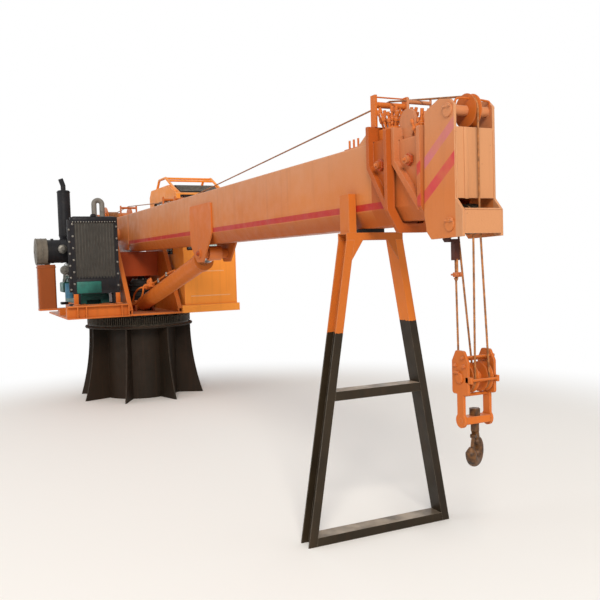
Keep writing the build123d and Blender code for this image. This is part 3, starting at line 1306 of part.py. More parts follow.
def hook():
    x, z = CROSSHEAD
    seat = z + CROSSHEAD_HEIGHT / 2 + SEAT_GAP
    under = z - CROSSHEAD_HEIGHT / 2 - SEAT_GAP
    y, bowl_z = hook_centre()
    collar_end = under - HOOK_COLLAR
    stem = round_z(x, 0, SHANK_RADIUS, (collar_end, seat))
    nut = Pos(x, 0, seat) * extrude(RegularPolygon(NUT_RADIUS, 6), NUT_HEIGHT)
    neck = round_z(x, 0, HOOK_COLLAR_RADIUS, (collar_end, under))
    bowl_plane = Plane(origin=(x, y, bowl_z), z_dir=(1, 0, 0), x_dir=(0, 1, 0))
    arc = CenterArc((0, 0), HOOK_BOWL_RADIUS, HOOK_SHOULDER_ANGLE, -HOOK_SWEEP)
    path = bowl_plane * arc
    start = Plane(origin=path @ 0, z_dir=path % 0)
    bowl = sweep(start * Circle(HOOK_SECTION), path=path)
    top = path @ 0
    point = path @ 1
    lead = path % 1
    shoulder = rod_between((x, 0, collar_end), tuple(top), HOOK_SHOULDER_RADIUS)
    shoulder += Pos(*top) * Sphere(HOOK_SECTION)
    cone = Cone(HOOK_SECTION, HOOK_TIP_RADIUS, HOOK_SECTION, align=(Align.CENTER, Align.CENTER, Align.MIN))
    tip = Plane(origin=point, z_dir=lead) * cone
    return turned_hook(stem + nut + neck + shoulder + bowl + tip + latch_ears())


def latch_pivot():
    """Pin of the safety latch, beside the hook's neck on the throat side."""
    y, z = hook_centre()
    return (y - SHANK_RADIUS, z + HOOK_BOWL_RADIUS + LATCH_RISE)


def latch_ears():
    y, z = latch_pivot()
    x = LOWER_SHEAVE_X
    inner = LATCH_HALF + SEAT_GAP
    reach = 2 * LATCH_PIN_RADIUS
    ears = []
    for low, high in ((inner, inner + LATCH_EAR), (-inner - LATCH_EAR, -inner)):
        ears.append(block((x + low, x + high), (y - reach, 0), (z - reach, z + reach)))
    pin = round_x(y, z, LATCH_PIN_RADIUS, (x - inner - LATCH_EAR, x + inner + LATCH_EAR))
    return ears[0] + ears[1] + pin


def hook_latch():
    """Sprung tongue from the neck down to just inside the hook's point."""
    y, z = latch_pivot()
    x = LOWER_SHEAVE_X
    span = (x - LATCH_HALF, x + LATCH_HALF)
    centre_y, centre_z = hook_centre()
    end = (centre_y - HOOK_BOWL_RADIUS + LATCH_END_IN, centre_z + LATCH_END_RISE)
    share = LATCH_TONGUE_HALF / math.dist((y, z), end)
    across = ((end[1] - z) * share, (y - end[0]) * share)
    outline = [
        (y + across[0], z + across[1]),
        (end[0] + across[0], end[1] + across[1]),
        (end[0] - across[0], end[1] - across[1]),
        (y - across[0], z - across[1]),
    ]
    tongue = front_plate(outline, span) + round_x(y, z, LATCH_EYE_RADIUS, span)
    return turned_hook(tongue - round_x(y, z, LATCH_PIN_RADIUS + RUN_FIT, span))


# Boom rest

def rest_half(z):
    """Half width over the outside of the rest's legs at a height."""
    return REST_FOOT_HALF - REST_TAPER * z


def rest_strip(reach, x):
    """Slanting strip along a leg between two distances from the leg's outside."""
    near, far = reach
    top = REST_BEAM_BOTTOM
    outline = [
        (rest_half(0) - near, 0),
        (rest_half(top) - near, top),
        (rest_half(top) - far, top),
        (rest_half(0) - far, 0),
    ]
    return front_plate(outline, x)


def rest_leg(side):
    """Channel that opens outward, its web on the inside."""
    leg = rest_strip((REST_FLANGE - REST_SKIN, REST_FLANGE), (REST_BACK, REST_FRONT))
    leg += rest_strip((0, REST_FLANGE), (REST_FRONT - REST_SKIN, REST_FRONT))
    leg += rest_strip((0, REST_FLANGE), (REST_BACK, REST_BACK + REST_SKIN))
    return leg if side > 0 else mirror(leg, about=Plane.XZ)


def between_legs(x, z):
    """Block from web to web of the legs, its ends cut to their slant."""
    low, high = (rest_half(level) - REST_FLANGE for level in z)
    return front_plate([(-low, z[0]), (low, z[0]), (high, z[1]), (-high, z[1])], x)


def over_legs(x, z):
    """Block that lies on the legs from outside to outside."""
    half = rest_half(REST_BEAM_BOTTOM)
    return block(x, (-half, half), z)


def channel_bar(across, z):
    """Channel across the rest with its web on top; across makes a block of it."""
    bar = across((REST_BACK, REST_FRONT), (z[1] - REST_SKIN, z[1]))
    bar += across((REST_BACK, REST_BACK + REST_SKIN), z)
    return bar + across((REST_FRONT - REST_SKIN, REST_FRONT), z)


def rest_cross_members():
    base = channel_bar(between_legs, (0, REST_FLANGE))
    crossbar = channel_bar(between_legs, (REST_CROSSBAR_Z, REST_CROSSBAR_Z + REST_CROSSBAR_HEIGHT))
    beam = channel_bar(over_legs, (REST_BEAM_BOTTOM, REST_BEAM_TOP))
    horn_y = (-BOOM_HALF_WIDTH - HORN_GAP - HORN_WIDTH, -BOOM_HALF_WIDTH - HORN_GAP)
    horn = block((REST_BACK, REST_FRONT), horn_y, (REST_BEAM_TOP, REST_BEAM_TOP + HORN_HEIGHT))
    corner = rest_half(REST_BEAM_BOTTOM) - REST_FLANGE
    gusset = front_plate(
        [(corner, REST_BEAM_BOTTOM), (corner - REST_GUSSET / 2, REST_BEAM_BOTTOM),
         (rest_half(REST_BEAM_BOTTOM - REST_GUSSET) - REST_FLANGE, REST_BEAM_BOTTOM - REST_GUSSET)],
        (REST_FRONT - REST_SKIN, REST_FRONT),
    )
    return group(base, crossbar, beam + both_sides(gusset), horn)


def rest_pads():
    pad_z = (REST_BEAM_TOP, REST_BEAM_TOP + REST_PAD)
    return block((REST_BACK, REST_FRONT), (-REST_PAD_HALF, REST_PAD_HALF), pad_z)


# Engine side

def engine_bed():
    inner = -DECK_HALF_WIDTH
    plate = block((ENGINE_REAR - BED_TAIL, DECK_FRONT), (-BED_OUTER, inner), (DECK_BOTTOM, DECK_TOP))
    front = block((DECK_FRONT - BED_RAIL_WIDTH, DECK_FRONT), (-BED_OUTER, inner), (DECK_TOP, BED_TOP))
    rails = []
    for offset in (-1, 1):
        y = ENGINE_Y + offset * (ENGINE_HALF_WIDTH - BED_RAIL_WIDTH / 2)
        rail_y = (y - BED_RAIL_WIDTH / 2, y + BED_RAIL_WIDTH / 2)
        rails.append(block((ENGINE_REAR, ENGINE_FRONT), rail_y, (DECK_TOP, BED_TOP)))
    cross = block(
        (RADIATOR_FRONT - RADIATOR_DEPTH, RADIATOR_FRONT),
        (ENGINE_Y - RADIATOR_HALF_WIDTH, ENGINE_Y + RADIATOR_HALF_WIDTH),
        (DECK_TOP, BED_TOP),
    )
    shelf_z = DECK_TOP + TANK_SHELF_RISE
    shelf_x = (TANK_X - TANK_DEPTH / 2, TANK_X + TANK_DEPTH / 2)
    shelf = block(shelf_x, (-TANK_INNER - TANK_WIDTH, -BED_OUTER), (shelf_z, shelf_z + TANK_SHELF))
    bracket = block(shelf_x, (-BED_OUTER, -BED_OUTER + BED_RAIL_WIDTH), (DECK_TOP, shelf_z + TANK_SHELF))
    return plate + front + rails[0] + rails[1] + cross + shelf + bracket


def engine_block():
    y = ENGINE_Y
    length = (ENGINE_REAR, ENGINE_FRONT)
    feet = DECK_TOP + ENGINE_SUMP_RISE
    body = block(length, (y - ENGINE_HALF_WIDTH, y + ENGINE_HALF_WIDTH), (BED_TOP, ENGINE_SHOULDER))
    sump_half = ENGINE_HALF_WIDTH - ENGINE_FOOT_WIDTH
    sump_y = (y - sump_half, y + sump_half)
    body -= block(length, sump_y, (BED_TOP, feet))
    sump_x = (ENGINE_REAR + ENGINE_SUMP_REAR, ENGINE_FRONT - ENGINE_SUMP_FRONT)
    body += block(sump_x, sump_y, (BED_TOP - ENGINE_SUMP_DROP, feet))
    head_x = (ENGINE_REAR + ENGINE_HEAD_REAR, ENGINE_FRONT - ENGINE_HEAD_FRONT)
    body += block(head_x, (y - ENGINE_HEAD_HALF, y + ENGINE_HEAD_HALF), (ENGINE_SHOULDER, ENGINE_HEAD_TOP))
    cover_x = (head_x[0] + ENGINE_COVER_EDGE, head_x[1] - ENGINE_COVER_EDGE)
    cover = block(cover_x, (y - ENGINE_COVER_HALF, y + ENGINE_COVER_HALF), (ENGINE_HEAD_TOP, ENGINE_TOP))
    body += fillet(cover.edges().group_by(Axis.Z)[-1], ENGINE_COVER_CORNER)
    nose = ENGINE_FRONT + ENGINE_NOSE
    body += round_x(*FAN, FAN_HUB_RADIUS, (ENGINE_FRONT - ENGINE_NOSE_DEPTH, nose))
    return body - round_x(*FAN, FAN_SHAFT_RADIUS + RUN_FIT, (nose - FAN_SHAFT_DEPTH, nose))


def cooling_fan():
    y, z = FAN
    nose = ENGINE_FRONT + ENGINE_NOSE
    hub_x = (nose + SEAT_GAP, nose + FAN_HUB_LENGTH)
    fan = round_x(y, z, FAN_SHAFT_RADIUS, (nose - FAN_SHAFT_DEPTH + SEAT_GAP, hub_x[0]))
    fan += round_x(y, z, FAN_HUB_RADIUS, hub_x)
    middle = (hub_x[0] + hub_x[1]) / 2
    length = FAN_RADIUS - FAN_BLADE_ROOT
    blade = Rot(0, 0, FAN_PITCH) * Box(FAN_BLADE, FAN_BLADE_CHORD, length)
    blade = Pos(0, 0, FAN_BLADE_ROOT + length / 2) * blade
    for i in range(FAN_BLADES):
        fan += Pos(middle, y, z) * Rot(360 / FAN_BLADES * i, 0, 0) * blade
    return fan


def radiator_spans():
    x = (RADIATOR_FRONT - RADIATOR_DEPTH, RADIATOR_FRONT)
    y = (ENGINE_Y - RADIATOR_HALF_WIDTH, ENGINE_Y + RADIATOR_HALF_WIDTH)
    z = (DECK_TOP + RADIATOR_BOTTOM_RISE, DECK_TOP + RADIATOR_TOP_RISE)
    return x, y, z


def radiator_core():
    x, y, z = radiator_spans()
    rim = RADIATOR_RIM
    return block((x[0] + CORE_INSET, x[1] - CORE_INSET), (y[0] + rim, y[1] - rim), (z[0] + rim, z[1] - rim))


def radiator_frame():
    x, y, z = radiator_spans()
    rim = RADIATOR_RIM
    frame = block(x, y, z) - block(x, (y[0] + rim, y[1] - rim), (z[0] + rim, z[1] - rim))
    for side in (y[0] + RADIATOR_LEG, y[1] - RADIATOR_LEG):
        frame += block(x, (side - RADIATOR_LEG / 2, side + RADIATOR_LEG / 2), (BED_TOP, z[0]))
    cap = round_z((x[0] + x[1]) / 2, ENGINE_Y, FILLER_RADIUS, (z[1], z[1] + FILLER_HEIGHT))
    return frame + cap


def engine_fittings():
    """Alternator with its pulley, fuel filter and pump on the engine's outer flank."""
    flank = ENGINE_Y - ENGINE_HALF_WIDTH
    alternator_at = (flank - ALTERNATOR_RADIUS, ENGINE_SHOULDER - ALTERNATOR_RADIUS)
    pulley_x = (ENGINE_FRONT - PULLEY_WIDTH, ENGINE_FRONT)
    alternator = round_x(*alternator_at, ALTERNATOR_RADIUS, (pulley_x[0] - ALTERNATOR_LENGTH, pulley_x[0]))
    alternator += round_x(*alternator_at, PULLEY_RADIUS, pulley_x)
    filter_z = (BED_TOP + FILTER_RISE, BED_TOP + FILTER_RISE + FILTER_HEIGHT)
    fuel_filter = round_z(ENGINE_FRONT - FILTER_BACK, flank - FILTER_RADIUS, FILTER_RADIUS, filter_z)
    pump_x = (ENGINE_REAR + PUMP_REAR, ENGINE_REAR + PUMP_REAR + PUMP_LENGTH)
    pump_low = filter_z[0] + FILTER_RISE
    pump = block(pump_x, (flank - PUMP_DEPTH, flank), (pump_low, pump_low + PUMP_HEIGHT))
    return group(alternator, fuel_filter, fillet(pump.edges().filter_by(Axis.X), PUMP_CORNER))


def air_cleaner():
    """Air cleaner with its intake pipe, and the breather bend over the engine."""
    x, z = TANK_X, CLEANER_AXIS
    cap_end = -CLEANER_OUTER + CLEANER_CAP
    body = round_y(x, z, CLEANER_BODY_RADIUS, (cap_end, -CLEANER_INNER))
    body += round_y(x, z, CLEANER_CAP_RADIUS, (-CLEANER_OUTER, cap_end))
    flank = ENGINE_Y - ENGINE_HEAD_HALF
    pipe = round_y(x, ENGINE_SHOULDER + PORT_RISE, CLEANER_PIPE_RADIUS, (-CLEANER_INNER, flank))
    up_y = ENGINE_Y + ENGINE_COVER_HALF + BREATHER_RADIUS + SIDE_PLAY
    down_y = up_y + 2 * BREATHER_BEND
    top = DECK_TOP + BREATHER_TOP_RISE - BREATHER_RADIUS
    centre = (BREATHER_X, up_y + BREATHER_BEND, top - BREATHER_BEND)
    ring = Plane(origin=centre, z_dir=(1, 0, 0)) * Torus(BREATHER_BEND, BREATHER_RADIUS)
    reach = 2 * BREATHER_BEND
    above_x = (centre[0] - reach, centre[0] + reach)
    above_y = (centre[1] - reach, centre[1] + reach)
    breather = ring & block(above_x, above_y, (centre[2], centre[2] + reach))
    breather += round_z(BREATHER_X, up_y, BREATHER_RADIUS, (ENGINE_HEAD_TOP, centre[2]))
    breather += round_z(BREATHER_X, down_y, BREATHER_RADIUS, (ENGINE_HEAD_TOP + BREATHER_END_RISE, centre[2]))
    return group(body + pipe, breather)


def muffler():
    """Upright silencer beside the engine: exhaust elbow, cone, drum and leaning tailpipe."""
    x, y = MUFFLER_X, MUFFLER_Y
    bottom = DECK_TOP + MUFFLER_BOTTOM_RISE
    top = bottom + MUFFLER_HEIGHT
    drum = round_z(x, y, MUFFLER_RADIUS, (bottom, top))
    drum = fillet(drum.edges().group_by(Axis.Z)[-1], MUFFLER_CORNER)
    cone_low = bottom - MUFFLER_CONE
    cone = Cone(EXHAUST_RADIUS, MUFFLER_RADIUS, MUFFLER_CONE, align=(Align.CENTER, Align.CENTER, Align.MIN))
    drum += Pos(x, y, cone_low) * cone
    elbow = (x, y, ENGINE_SHOULDER + PORT_RISE)
    drum += round_z(x, y, EXHAUST_RADIUS, (elbow[2], cone_low)) + Pos(*elbow) * Sphere(EXHAUST_RADIUS)
    drum += round_y(x, elbow[2], EXHAUST_RADIUS, (y, ENGINE_Y - ENGINE_HEAD_HALF))
    bend = (x, y, top + TAILPIPE_BEND)
    end = (x, y - TAILPIPE_LEAN, top + TAILPIPE_HEIGHT)
    drum += round_z(x, y, EXHAUST_RADIUS, (top, bend[2])) + Pos(*bend) * Sphere(EXHAUST_RADIUS)
    return drum + rod_between(bend, end, EXHAUST_RADIUS)


def fuel_tank():
    shelf = TANK_FLOOR
    x = (TANK_X - TANK_DEPTH / 2, TANK_X + TANK_DEPTH / 2)
    tank = block(x, (-TANK_INNER - TANK_WIDTH, -TANK_INNER), (shelf, shelf + TANK_HEIGHT))
    tank = fillet(tank.edges().filter_by(Axis.Z), TANK_CORNER)
    return tank


# Cab

def cab_outline(inset):
    """Side outline of the cab, moved inward by inset."""
    front, rear = CAB_FRONT - inset, CAB_REAR + inset
    rake = math.hypot(CAB_FRONT - CAB_BROW_X, CAB_BROW - CAB_SILL) / (CAB_BROW - CAB_SILL) * inset
    return [
        (rear, CAB_FLOOR + inset), (front, CAB_FLOOR + inset), (front, CAB_SILL - inset * SILL_MITRE),
        (CAB_BROW_X - rake, CAB_BROW - inset * BROW_MITRE),
        (CAB_ROOF_FRONT - inset * ROOF_MITRE, CAB_ROOF - inset),
        (CAB_REAR + CAB_REAR_CORNER, CAB_ROOF - inset), (rear, CAB_ROOF - CAB_REAR_CORNER),
    ]


def cab_openings():
    """Name to (x, y, z) spans of each opening cut through the cab's walls."""
    inner = (CAB_INNER - CUT_OVER, CAB_INNER + CAB_WALL + CUT_OVER)
    outer = (CAB_OUTER - CAB_WALL - CUT_OVER, CAB_OUTER + CUT_OVER)
    side_z = (CAB_SILL, CAB_BROW - WINDOW_RIM)
    front_z = (CAB_SILL + FRONT_RIM_BELOW, CAB_BROW - FRONT_RIM_ABOVE)
    clear_y = (CAB_INNER + WINDOW_RIM, CAB_OUTER - WINDOW_RIM)
    return {
        "front": ((CAB_BROW_X - 4 * CAB_WALL, CAB_FRONT + CUT_OVER), clear_y, front_z),
        "near": ((DOOR_REAR, DOOR_FRONT), inner, side_z),
        "rear": ((CAB_REAR - CUT_OVER, CAB_REAR + CAB_WALL + CUT_OVER), clear_y, side_z),
        "door": ((DOOR_REAR, DOOR_FRONT), outer, (DOOR_BOTTOM, DOOR_BOTTOM + DOOR_HEIGHT)),
    }


def hinge_heights():
    end = HINGE_END_SHARE * DOOR_HEIGHT
    return (DOOR_BOTTOM + end, DOOR_BOTTOM + DOOR_HEIGHT - end)


def cab_shell():
    shell = side_plate(cab_outline(0), (CAB_INNER, CAB_OUTER))
    shell -= side_plate(cab_outline(CAB_WALL), (CAB_INNER + CAB_WALL, CAB_OUTER - CAB_WALL))
    for spans in cab_openings().values():
        shell -= block(*spans)
    x, y = HINGE
    reach = HINGE_PIN_RADIUS + HINGE_WALL
    for z in hinge_heights():
        half = HINGE_HEIGHT / 2
        shell += round_z(x, y, HINGE_PIN_RADIUS, (z - half - HINGE_LUG, z + half + HINGE_LUG))
        for low in (z - half - HINGE_LUG - SEAT_GAP, z + half + SEAT_GAP):
            shell += block((x - reach, x + reach), (CAB_OUTER, y + reach), (low, low + HINGE_LUG))
    return shell


def cab_glazing():
    """Panes set in the middle of the cab's walls."""
    openings = cab_openings()
    _, front_y, z = openings["front"]
    lean = (CAB_BROW_X - CAB_FRONT) / (CAB_BROW - CAB_SILL)

    def front_x(height):
        return CAB_FRONT + lean * (height - CAB_SILL)

    outline = [(front_x(z[0]) - GLASS_INSET, z[0]), (front_x(z[1]) - GLASS_INSET, z[1]),
               (front_x(z[1]) - GLASS_INSET - GLASS, z[1]), (front_x(z[0]) - GLASS_INSET - GLASS, z[0])]
    front = side_plate(outline, front_y)
    near_x, _, near_z = openings["near"]
    near = block(near_x, (CAB_INNER + GLASS_INSET, CAB_INNER + GLASS_INSET + GLASS), near_z)
    _, rear_y, rear_z = openings["rear"]
    rear = block((CAB_REAR + GLASS_INSET, CAB_REAR + GLASS_INSET + GLASS), rear_y, rear_z)
    return group(front, near, rear)


def cab_door():
    x, _, z = cab_openings()["door"]
    face = (CAB_OUTER - CAB_WALL, CAB_OUTER)
    span_x = (x[0] + DOOR_GAP, x[1] - DOOR_GAP)
    span_z = (z[0] + DOOR_GAP, z[1] - DOOR_GAP)
    door = block(span_x, face, span_z)
    window_x = (span_x[0] + 2 * WINDOW_RIM, span_x[1] - 2 * WINDOW_RIM)
    door -= block(window_x, face, (CAB_SILL, span_z[1] - 2 * WINDOW_RIM))
    hinge_x, hinge_y = HINGE
    outer = HINGE_PIN_RADIUS + HINGE_WALL
    for height in hinge_heights():
        half = HINGE_HEIGHT / 2
        level = (height - half, height + half)
        leaf = block((hinge_x, span_x[0] + WINDOW_RIM), (hinge_y - HINGE_WALL, hinge_y), level)
        foot = block((span_x[0], span_x[0] + WINDOW_RIM), (CAB_OUTER, hinge_y), level)
        knuckle = round_z(hinge_x, hinge_y, outer - KNUCKLE_INSET, level)
        door += leaf + foot + knuckle
        door -= round_z(hinge_x, hinge_y, HINGE_PIN_RADIUS + RUN_FIT, level)
    return door


def cab_guard():
    """Guard tubes: a hoop over each side of the roof and two thinner rails between the hoops."""
    r = GUARD_RADIUS
    rail = GUARD_RAIL_RADIUS
    top = CAB_ROOF + GUARD_RISE
    brow_slope = (CAB_BROW - CAB_ROOF) / (CAB_BROW_X - CAB_ROOF_FRONT)
    front_z = CAB_ROOF + brow_slope * (GUARD_FRONT - CAB_ROOF_FRONT)
    hoop_y = (CAB_INNER + 2 * r, CAB_OUTER - 2 * r)
    corners = [(GUARD_REAR, CAB_ROOF), (GUARD_TOP_REAR, top), (GUARD_TOP_FRONT, top), (GUARD_FRONT, front_z)]
    for end, before in ((0, 1), (3, 2)):
        share = 2 * r / math.dist(corners[end], corners[before])
        corners[end] = tuple(a + (a - b) * share for a, b in zip(corners[end], corners[before]))
    hoops = []
    for y in hoop_y:
        path = FilletPolyline(*[(x, y, z) for x, z in corners], radius=GUARD_BEND)
        hoops.append(sweep(Plane(origin=path @ 0, z_dir=path % 0) * Circle(r), path=path))
    lower_x = GUARD_TOP_FRONT + GUARD_LOWER_RAIL * (GUARD_FRONT - GUARD_TOP_FRONT)
    lower_z = top + GUARD_LOWER_RAIL * (front_z - top)
    guard = hoops[0] + hoops[1]
    guard += round_y(GUARD_TOP_FRONT - GUARD_BEND, top, rail, hoop_y)
    guard += round_y(lower_x, lower_z, rail, hoop_y)
    return guard - side_plate(cab_outline(0), (CAB_INNER, CAB_OUTER))


def cushion(half_length, half_width, thickness):
    """Padded slab lying flat: crowned on top, its sides drawn in at the middle."""
    a, b = half_length, half_width
    sides = [
        ThreePointArc((-a, -b), (0, -b + SEAT_DRAW), (a, -b)),
        ThreePointArc((a, -b), (a - SEAT_DRAW, 0), (a, b)),
        ThreePointArc((a, b), (0, b - SEAT_DRAW), (-a, b)),
        ThreePointArc((-a, b), (-a + SEAT_DRAW, 0), (-a, -b)),
    ]
    slab = extrude(make_face(sides), thickness)
    edge = thickness - SEAT_CROWN
    crown = [
        Polyline((-a, edge), (-a, 0), (a, 0), (a, edge)),
        ThreePointArc((a, edge), (0, thickness), (-a, edge)),
    ]
    return slab & extrude(Plane.XZ * make_face(crown), amount=2 * b, both=True)


def cab_seat():
    floor = CAB_FLOOR + CAB_WALL
    seat_z = floor + SEAT_RISE
    y = CAB_CENTRE
    pan_x = (SEAT_X - SEAT_PAN_HALF, SEAT_X + SEAT_PAN_HALF)
    column = block(pan_x, (y - SEAT_PAN_HALF, y + SEAT_PAN_HALF), (seat_z - SEAT_PAN, seat_z))
    column += round_z(SEAT_X, y, SEAT_COLUMN_RADIUS, (floor, seat_z - SEAT_PAN))
    base = Pos(SEAT_X, y, seat_z) * cushion(SEAT_HALF_WIDTH, SEAT_HALF_WIDTH, SEAT_CUSHION)
    back_x = SEAT_X - SEAT_HALF_WIDTH - SEAT_BACK_DEPTH
    back = cushion(SEAT_BACK_HEIGHT / 2, SEAT_BACK_HALF_WIDTH, SEAT_BACK_DEPTH)
    back = Pos(back_x, y, seat_z + SEAT_BACK_HEIGHT / 2) * Rot(0, 90, 0) * back
    spine_x = (back_x - SEAT_SPINE, back_x)
    spine_y = (y - SEAT_SPINE_HALF, y + SEAT_SPINE_HALF)
    bracket = block((spine_x[0], SEAT_X), spine_y, (seat_z - SEAT_SPINE, seat_z))
    bracket += block(spine_x, spine_y, (seat_z - SEAT_SPINE, seat_z + SEAT_SPINE_RISE))
    return group(column + bracket, base, back)


def control_console():
    x = (CONSOLE_X - CONSOLE_DEPTH / 2, CONSOLE_X + CONSOLE_DEPTH / 2)
    floor = CAB_FLOOR + CAB_WALL
    y = (CAB_CENTRE - CONSOLE_HALF_WIDTH, CAB_CENTRE + CONSOLE_HALF_WIDTH)
    top = CAB_FLOOR + CONSOLE_HEIGHT
    console = block(x, y, (floor, top))
    ear_x = (CONSOLE_X - LEVER_HUB_RADIUS, CONSOLE_X + LEVER_HUB_RADIUS)
    ear_z = (top, LEVER_Z + LEVER_HUB_RADIUS / 2)
    inner = LEVER_HUB_HALF + SEAT_GAP
    outer = inner + LEVER_EAR
    for lane in lever_lanes():
        console += block(ear_x, (lane + inner, lane + outer), ear_z)
        console += block(ear_x, (lane - outer, lane - inner), ear_z)
        console += round_y(CONSOLE_X, LEVER_Z, LEVER_PIN_RADIUS, (lane - outer, lane + outer))
    return console


def lever_lanes():
    return (CAB_CENTRE - LEVER_SPACING / 2, CAB_CENTRE + LEVER_SPACING / 2)


def lever(lane):
    half = LEVER_HUB_HALF
    stick = round_y(CONSOLE_X, LEVER_Z, LEVER_HUB_RADIUS, (lane - half, lane + half))
    stick += round_z(CONSOLE_X, lane, LEVER_STEM_RADIUS, (LEVER_Z, LEVER_Z + LEVER_LENGTH))
    stick += Pos(CONSOLE_X, lane, LEVER_Z + LEVER_LENGTH) * Sphere(LEVER_KNOB_RADIUS)
    return stick - round_y(CONSOLE_X, LEVER_Z, LEVER_PIN_RADIUS + RUN_FIT, (lane - half, lane + half))


def block_sheave(lane):
    return sheave(BLOCK, lane, FALL_RADIUS, SHEAVE_PIN_RADIUS)


PIECES = {
    "pedestal": pedestal(),
    "pedestal_gussets": pedestal_gussets(),
    "slew_ring_gear": slew_ring_gear(),
    "rest_leg_left": rest_leg(-1),
    "rest_leg_right": rest_leg(1),
    "rest_cross_members": rest_cross_members(),
    "rest_pads": rest_pads(),
    "turntable_deck": turntable_deck(),
    "slew_ring_inner": slew_ring_inner(),
    "turret_plate_left": turret_plate(-1),
    "turret_plate_right": turret_plate(1),
    "turret_crossbox": turret_crossbox(),
    "boom_pivot_pin": boom_pivot_pin(),
    "slew_drive": slew_drive(),
    "slew_pinion": slew_pinion(),
    "swivel_joint": swivel_joint(),
    "engine_bed": engine_bed(),
    "engine_block": engine_block(),
    "engine_fittings": engine_fittings(),
    "cooling_fan": cooling_fan(),
    "radiator_core": radiator_core(),
    "radiator_frame": radiator_frame(),
    "air_cleaner": air_cleaner(),
    "muffler": muffler(),
    "fuel_tank": fuel_tank(),
    "cab_shell": cab_shell(),
    "cab_glazing": cab_glazing(),
    "cab_door": cab_door(),
    "cab_guard": cab_guard(),
    "cab_seat": cab_seat(),
    "control_console": control_console(),
    "lever_left": lever(lever_lanes()[0]),
    "lever_right": lever(lever_lanes()[1]),
    "boom_base": boom_base(),
    "luff_lugs": luff_lugs(),
    "luff_rod": luff_rod(),
    "luff_barrel": luff_barrel(),
    "telescope_rod": telescope_rod(),
    "telescope_barrel": telescope_barrel(),
    "winch_frame": winch_frame(),
    "winch_drum": winch_drum(),
    "drum_rope": drum_rope(),
    "rope_guides": rope_guides(),
    "hoist_rope_base": hoist_rope_base(),
    "boom_mid": boom_mid(),
    "hoist_rope_mid": hoist_rope_mid(),
    "boom_tip": boom_tip(),
    "boom_head": boom_head(),
    "hoist_rope_tip": hoist_rope_tip(),
    "head_sheave": sheave(HEAD_SHEAVE, 0, HEAD_SHEAVE_GROOVE, SHEAVE_PIN_RADIUS),
    "lead_sheave": sheave(HANG, 0, FALL_RADIUS, SHEAVE_PIN_RADIUS),
    "return_sheave": sheave(HANG, RETURN_LANE, FALL_RADIUS, SHEAVE_PIN_RADIUS),
    "falls": falls(),
    "wedge_socket": wedge_socket(),
    "block_frame": block_frame(),
    "block_sheave_left": block_sheave(-BLOCK_LANE),
    "block_sheave_right": block_sheave(BLOCK_LANE),
    "crosshead": crosshead(),
    "hook": hook(),
    "hook_latch": hook_latch(),
}

os.makedirs("parts", exist_ok=True)
for name, shape in PIECES.items():
    export_step(shape, os.path.join("parts", name + ".step"))
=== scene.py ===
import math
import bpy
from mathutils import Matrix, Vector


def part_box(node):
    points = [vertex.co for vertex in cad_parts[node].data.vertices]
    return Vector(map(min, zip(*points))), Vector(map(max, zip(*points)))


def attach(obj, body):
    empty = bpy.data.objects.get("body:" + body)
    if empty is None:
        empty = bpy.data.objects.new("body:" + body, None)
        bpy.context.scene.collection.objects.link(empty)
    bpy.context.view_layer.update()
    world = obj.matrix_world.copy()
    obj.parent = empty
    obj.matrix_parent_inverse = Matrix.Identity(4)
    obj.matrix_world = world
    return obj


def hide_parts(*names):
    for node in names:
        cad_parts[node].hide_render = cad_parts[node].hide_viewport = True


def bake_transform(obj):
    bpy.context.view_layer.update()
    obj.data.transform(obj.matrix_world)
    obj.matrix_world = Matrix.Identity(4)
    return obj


bl_info = {
    "name": "Telescopic deck crane",
    "version": (1, 0, 0),
    "blender": (4, 5, 0),
    "location": "View3D > Sidebar > Crane",
    "description": "Finishes, ropes and fittings of a marine deck crane around its fixed frame",
    "category": "Object",
}

import bmesh
import bpy
from bpy.props import FloatProperty, FloatVectorProperty, PointerProperty
from mathutils import Matrix, Vector

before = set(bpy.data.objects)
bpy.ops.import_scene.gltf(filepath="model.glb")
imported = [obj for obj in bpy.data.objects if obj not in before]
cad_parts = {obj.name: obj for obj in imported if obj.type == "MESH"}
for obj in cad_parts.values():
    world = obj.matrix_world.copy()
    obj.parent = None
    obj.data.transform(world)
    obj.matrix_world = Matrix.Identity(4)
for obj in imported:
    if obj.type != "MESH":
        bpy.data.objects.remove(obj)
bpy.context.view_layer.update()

X, Y, Z = Vector((1, 0, 0)), Vector((0, 1, 0)), Vector((0, 0, 1))
SIDES = (-1, 1)

# Places that the frame fixes, in metres
WINCH = Vector((-0.950, 0, 2.120))
PIVOT = Vector((-0.400, 0, 1.930))
LUG = Vector((2.800, 0, 1.632))
FOOT = Vector((0.150, 0, 1.072))
ROOT_TURN = Vector((-0.320, 0, 2.2735))
SHOE_TURN = Vector((2.000, 0, 2.157))
GUIDE_TURN = Vector((5.660, 0, 2.3665))
HEAD_SHEAVE = Vector((6.307, 0, 2.196))
HANG = Vector((6.315, 0, 1.712))
BLOCK = Vector((6.315, 0, 0.9935))
LOWER_PIN = Vector((6.308, 0, 1.690))
BOOM_TOP = 2.150
BOOM_BOTTOM = 1.710
BOOM_SIDE = 0.115
BASE_SCREW = 5.7525
MIDDLE_SCREW = 5.9815
SCREW_HEIGHT = 2.020
HEAD_SIDE = 0.113
HEAD_FACE = 6.350
BLOCK_SIDE = 0.080
TURRET_SIDE = 0.273
WINDING_RADIUS = 0.1255
WINDING_PITCH = 0.0109
WINDING_TURNS = 12
SHEAVE_GROOVE = 0.066
FALL_RADIUS = 0.058
GUIDE_EXIT = 5.685
MIDDLE_GUIDE_EXIT = 5.955
RETURN_LANE = -0.036
SOCKET_LANE = -0.048
BLOCK_LANE = 0.040
SOCKET_DROP = 0.184
ENGINE_Y = -0.600
ENGINE_FLANK = -0.770
ENGINE_FRONT = 0.420
CLEANER = Vector((0.200, 0, 1.728))
CAB_MIDDLE = 0.660
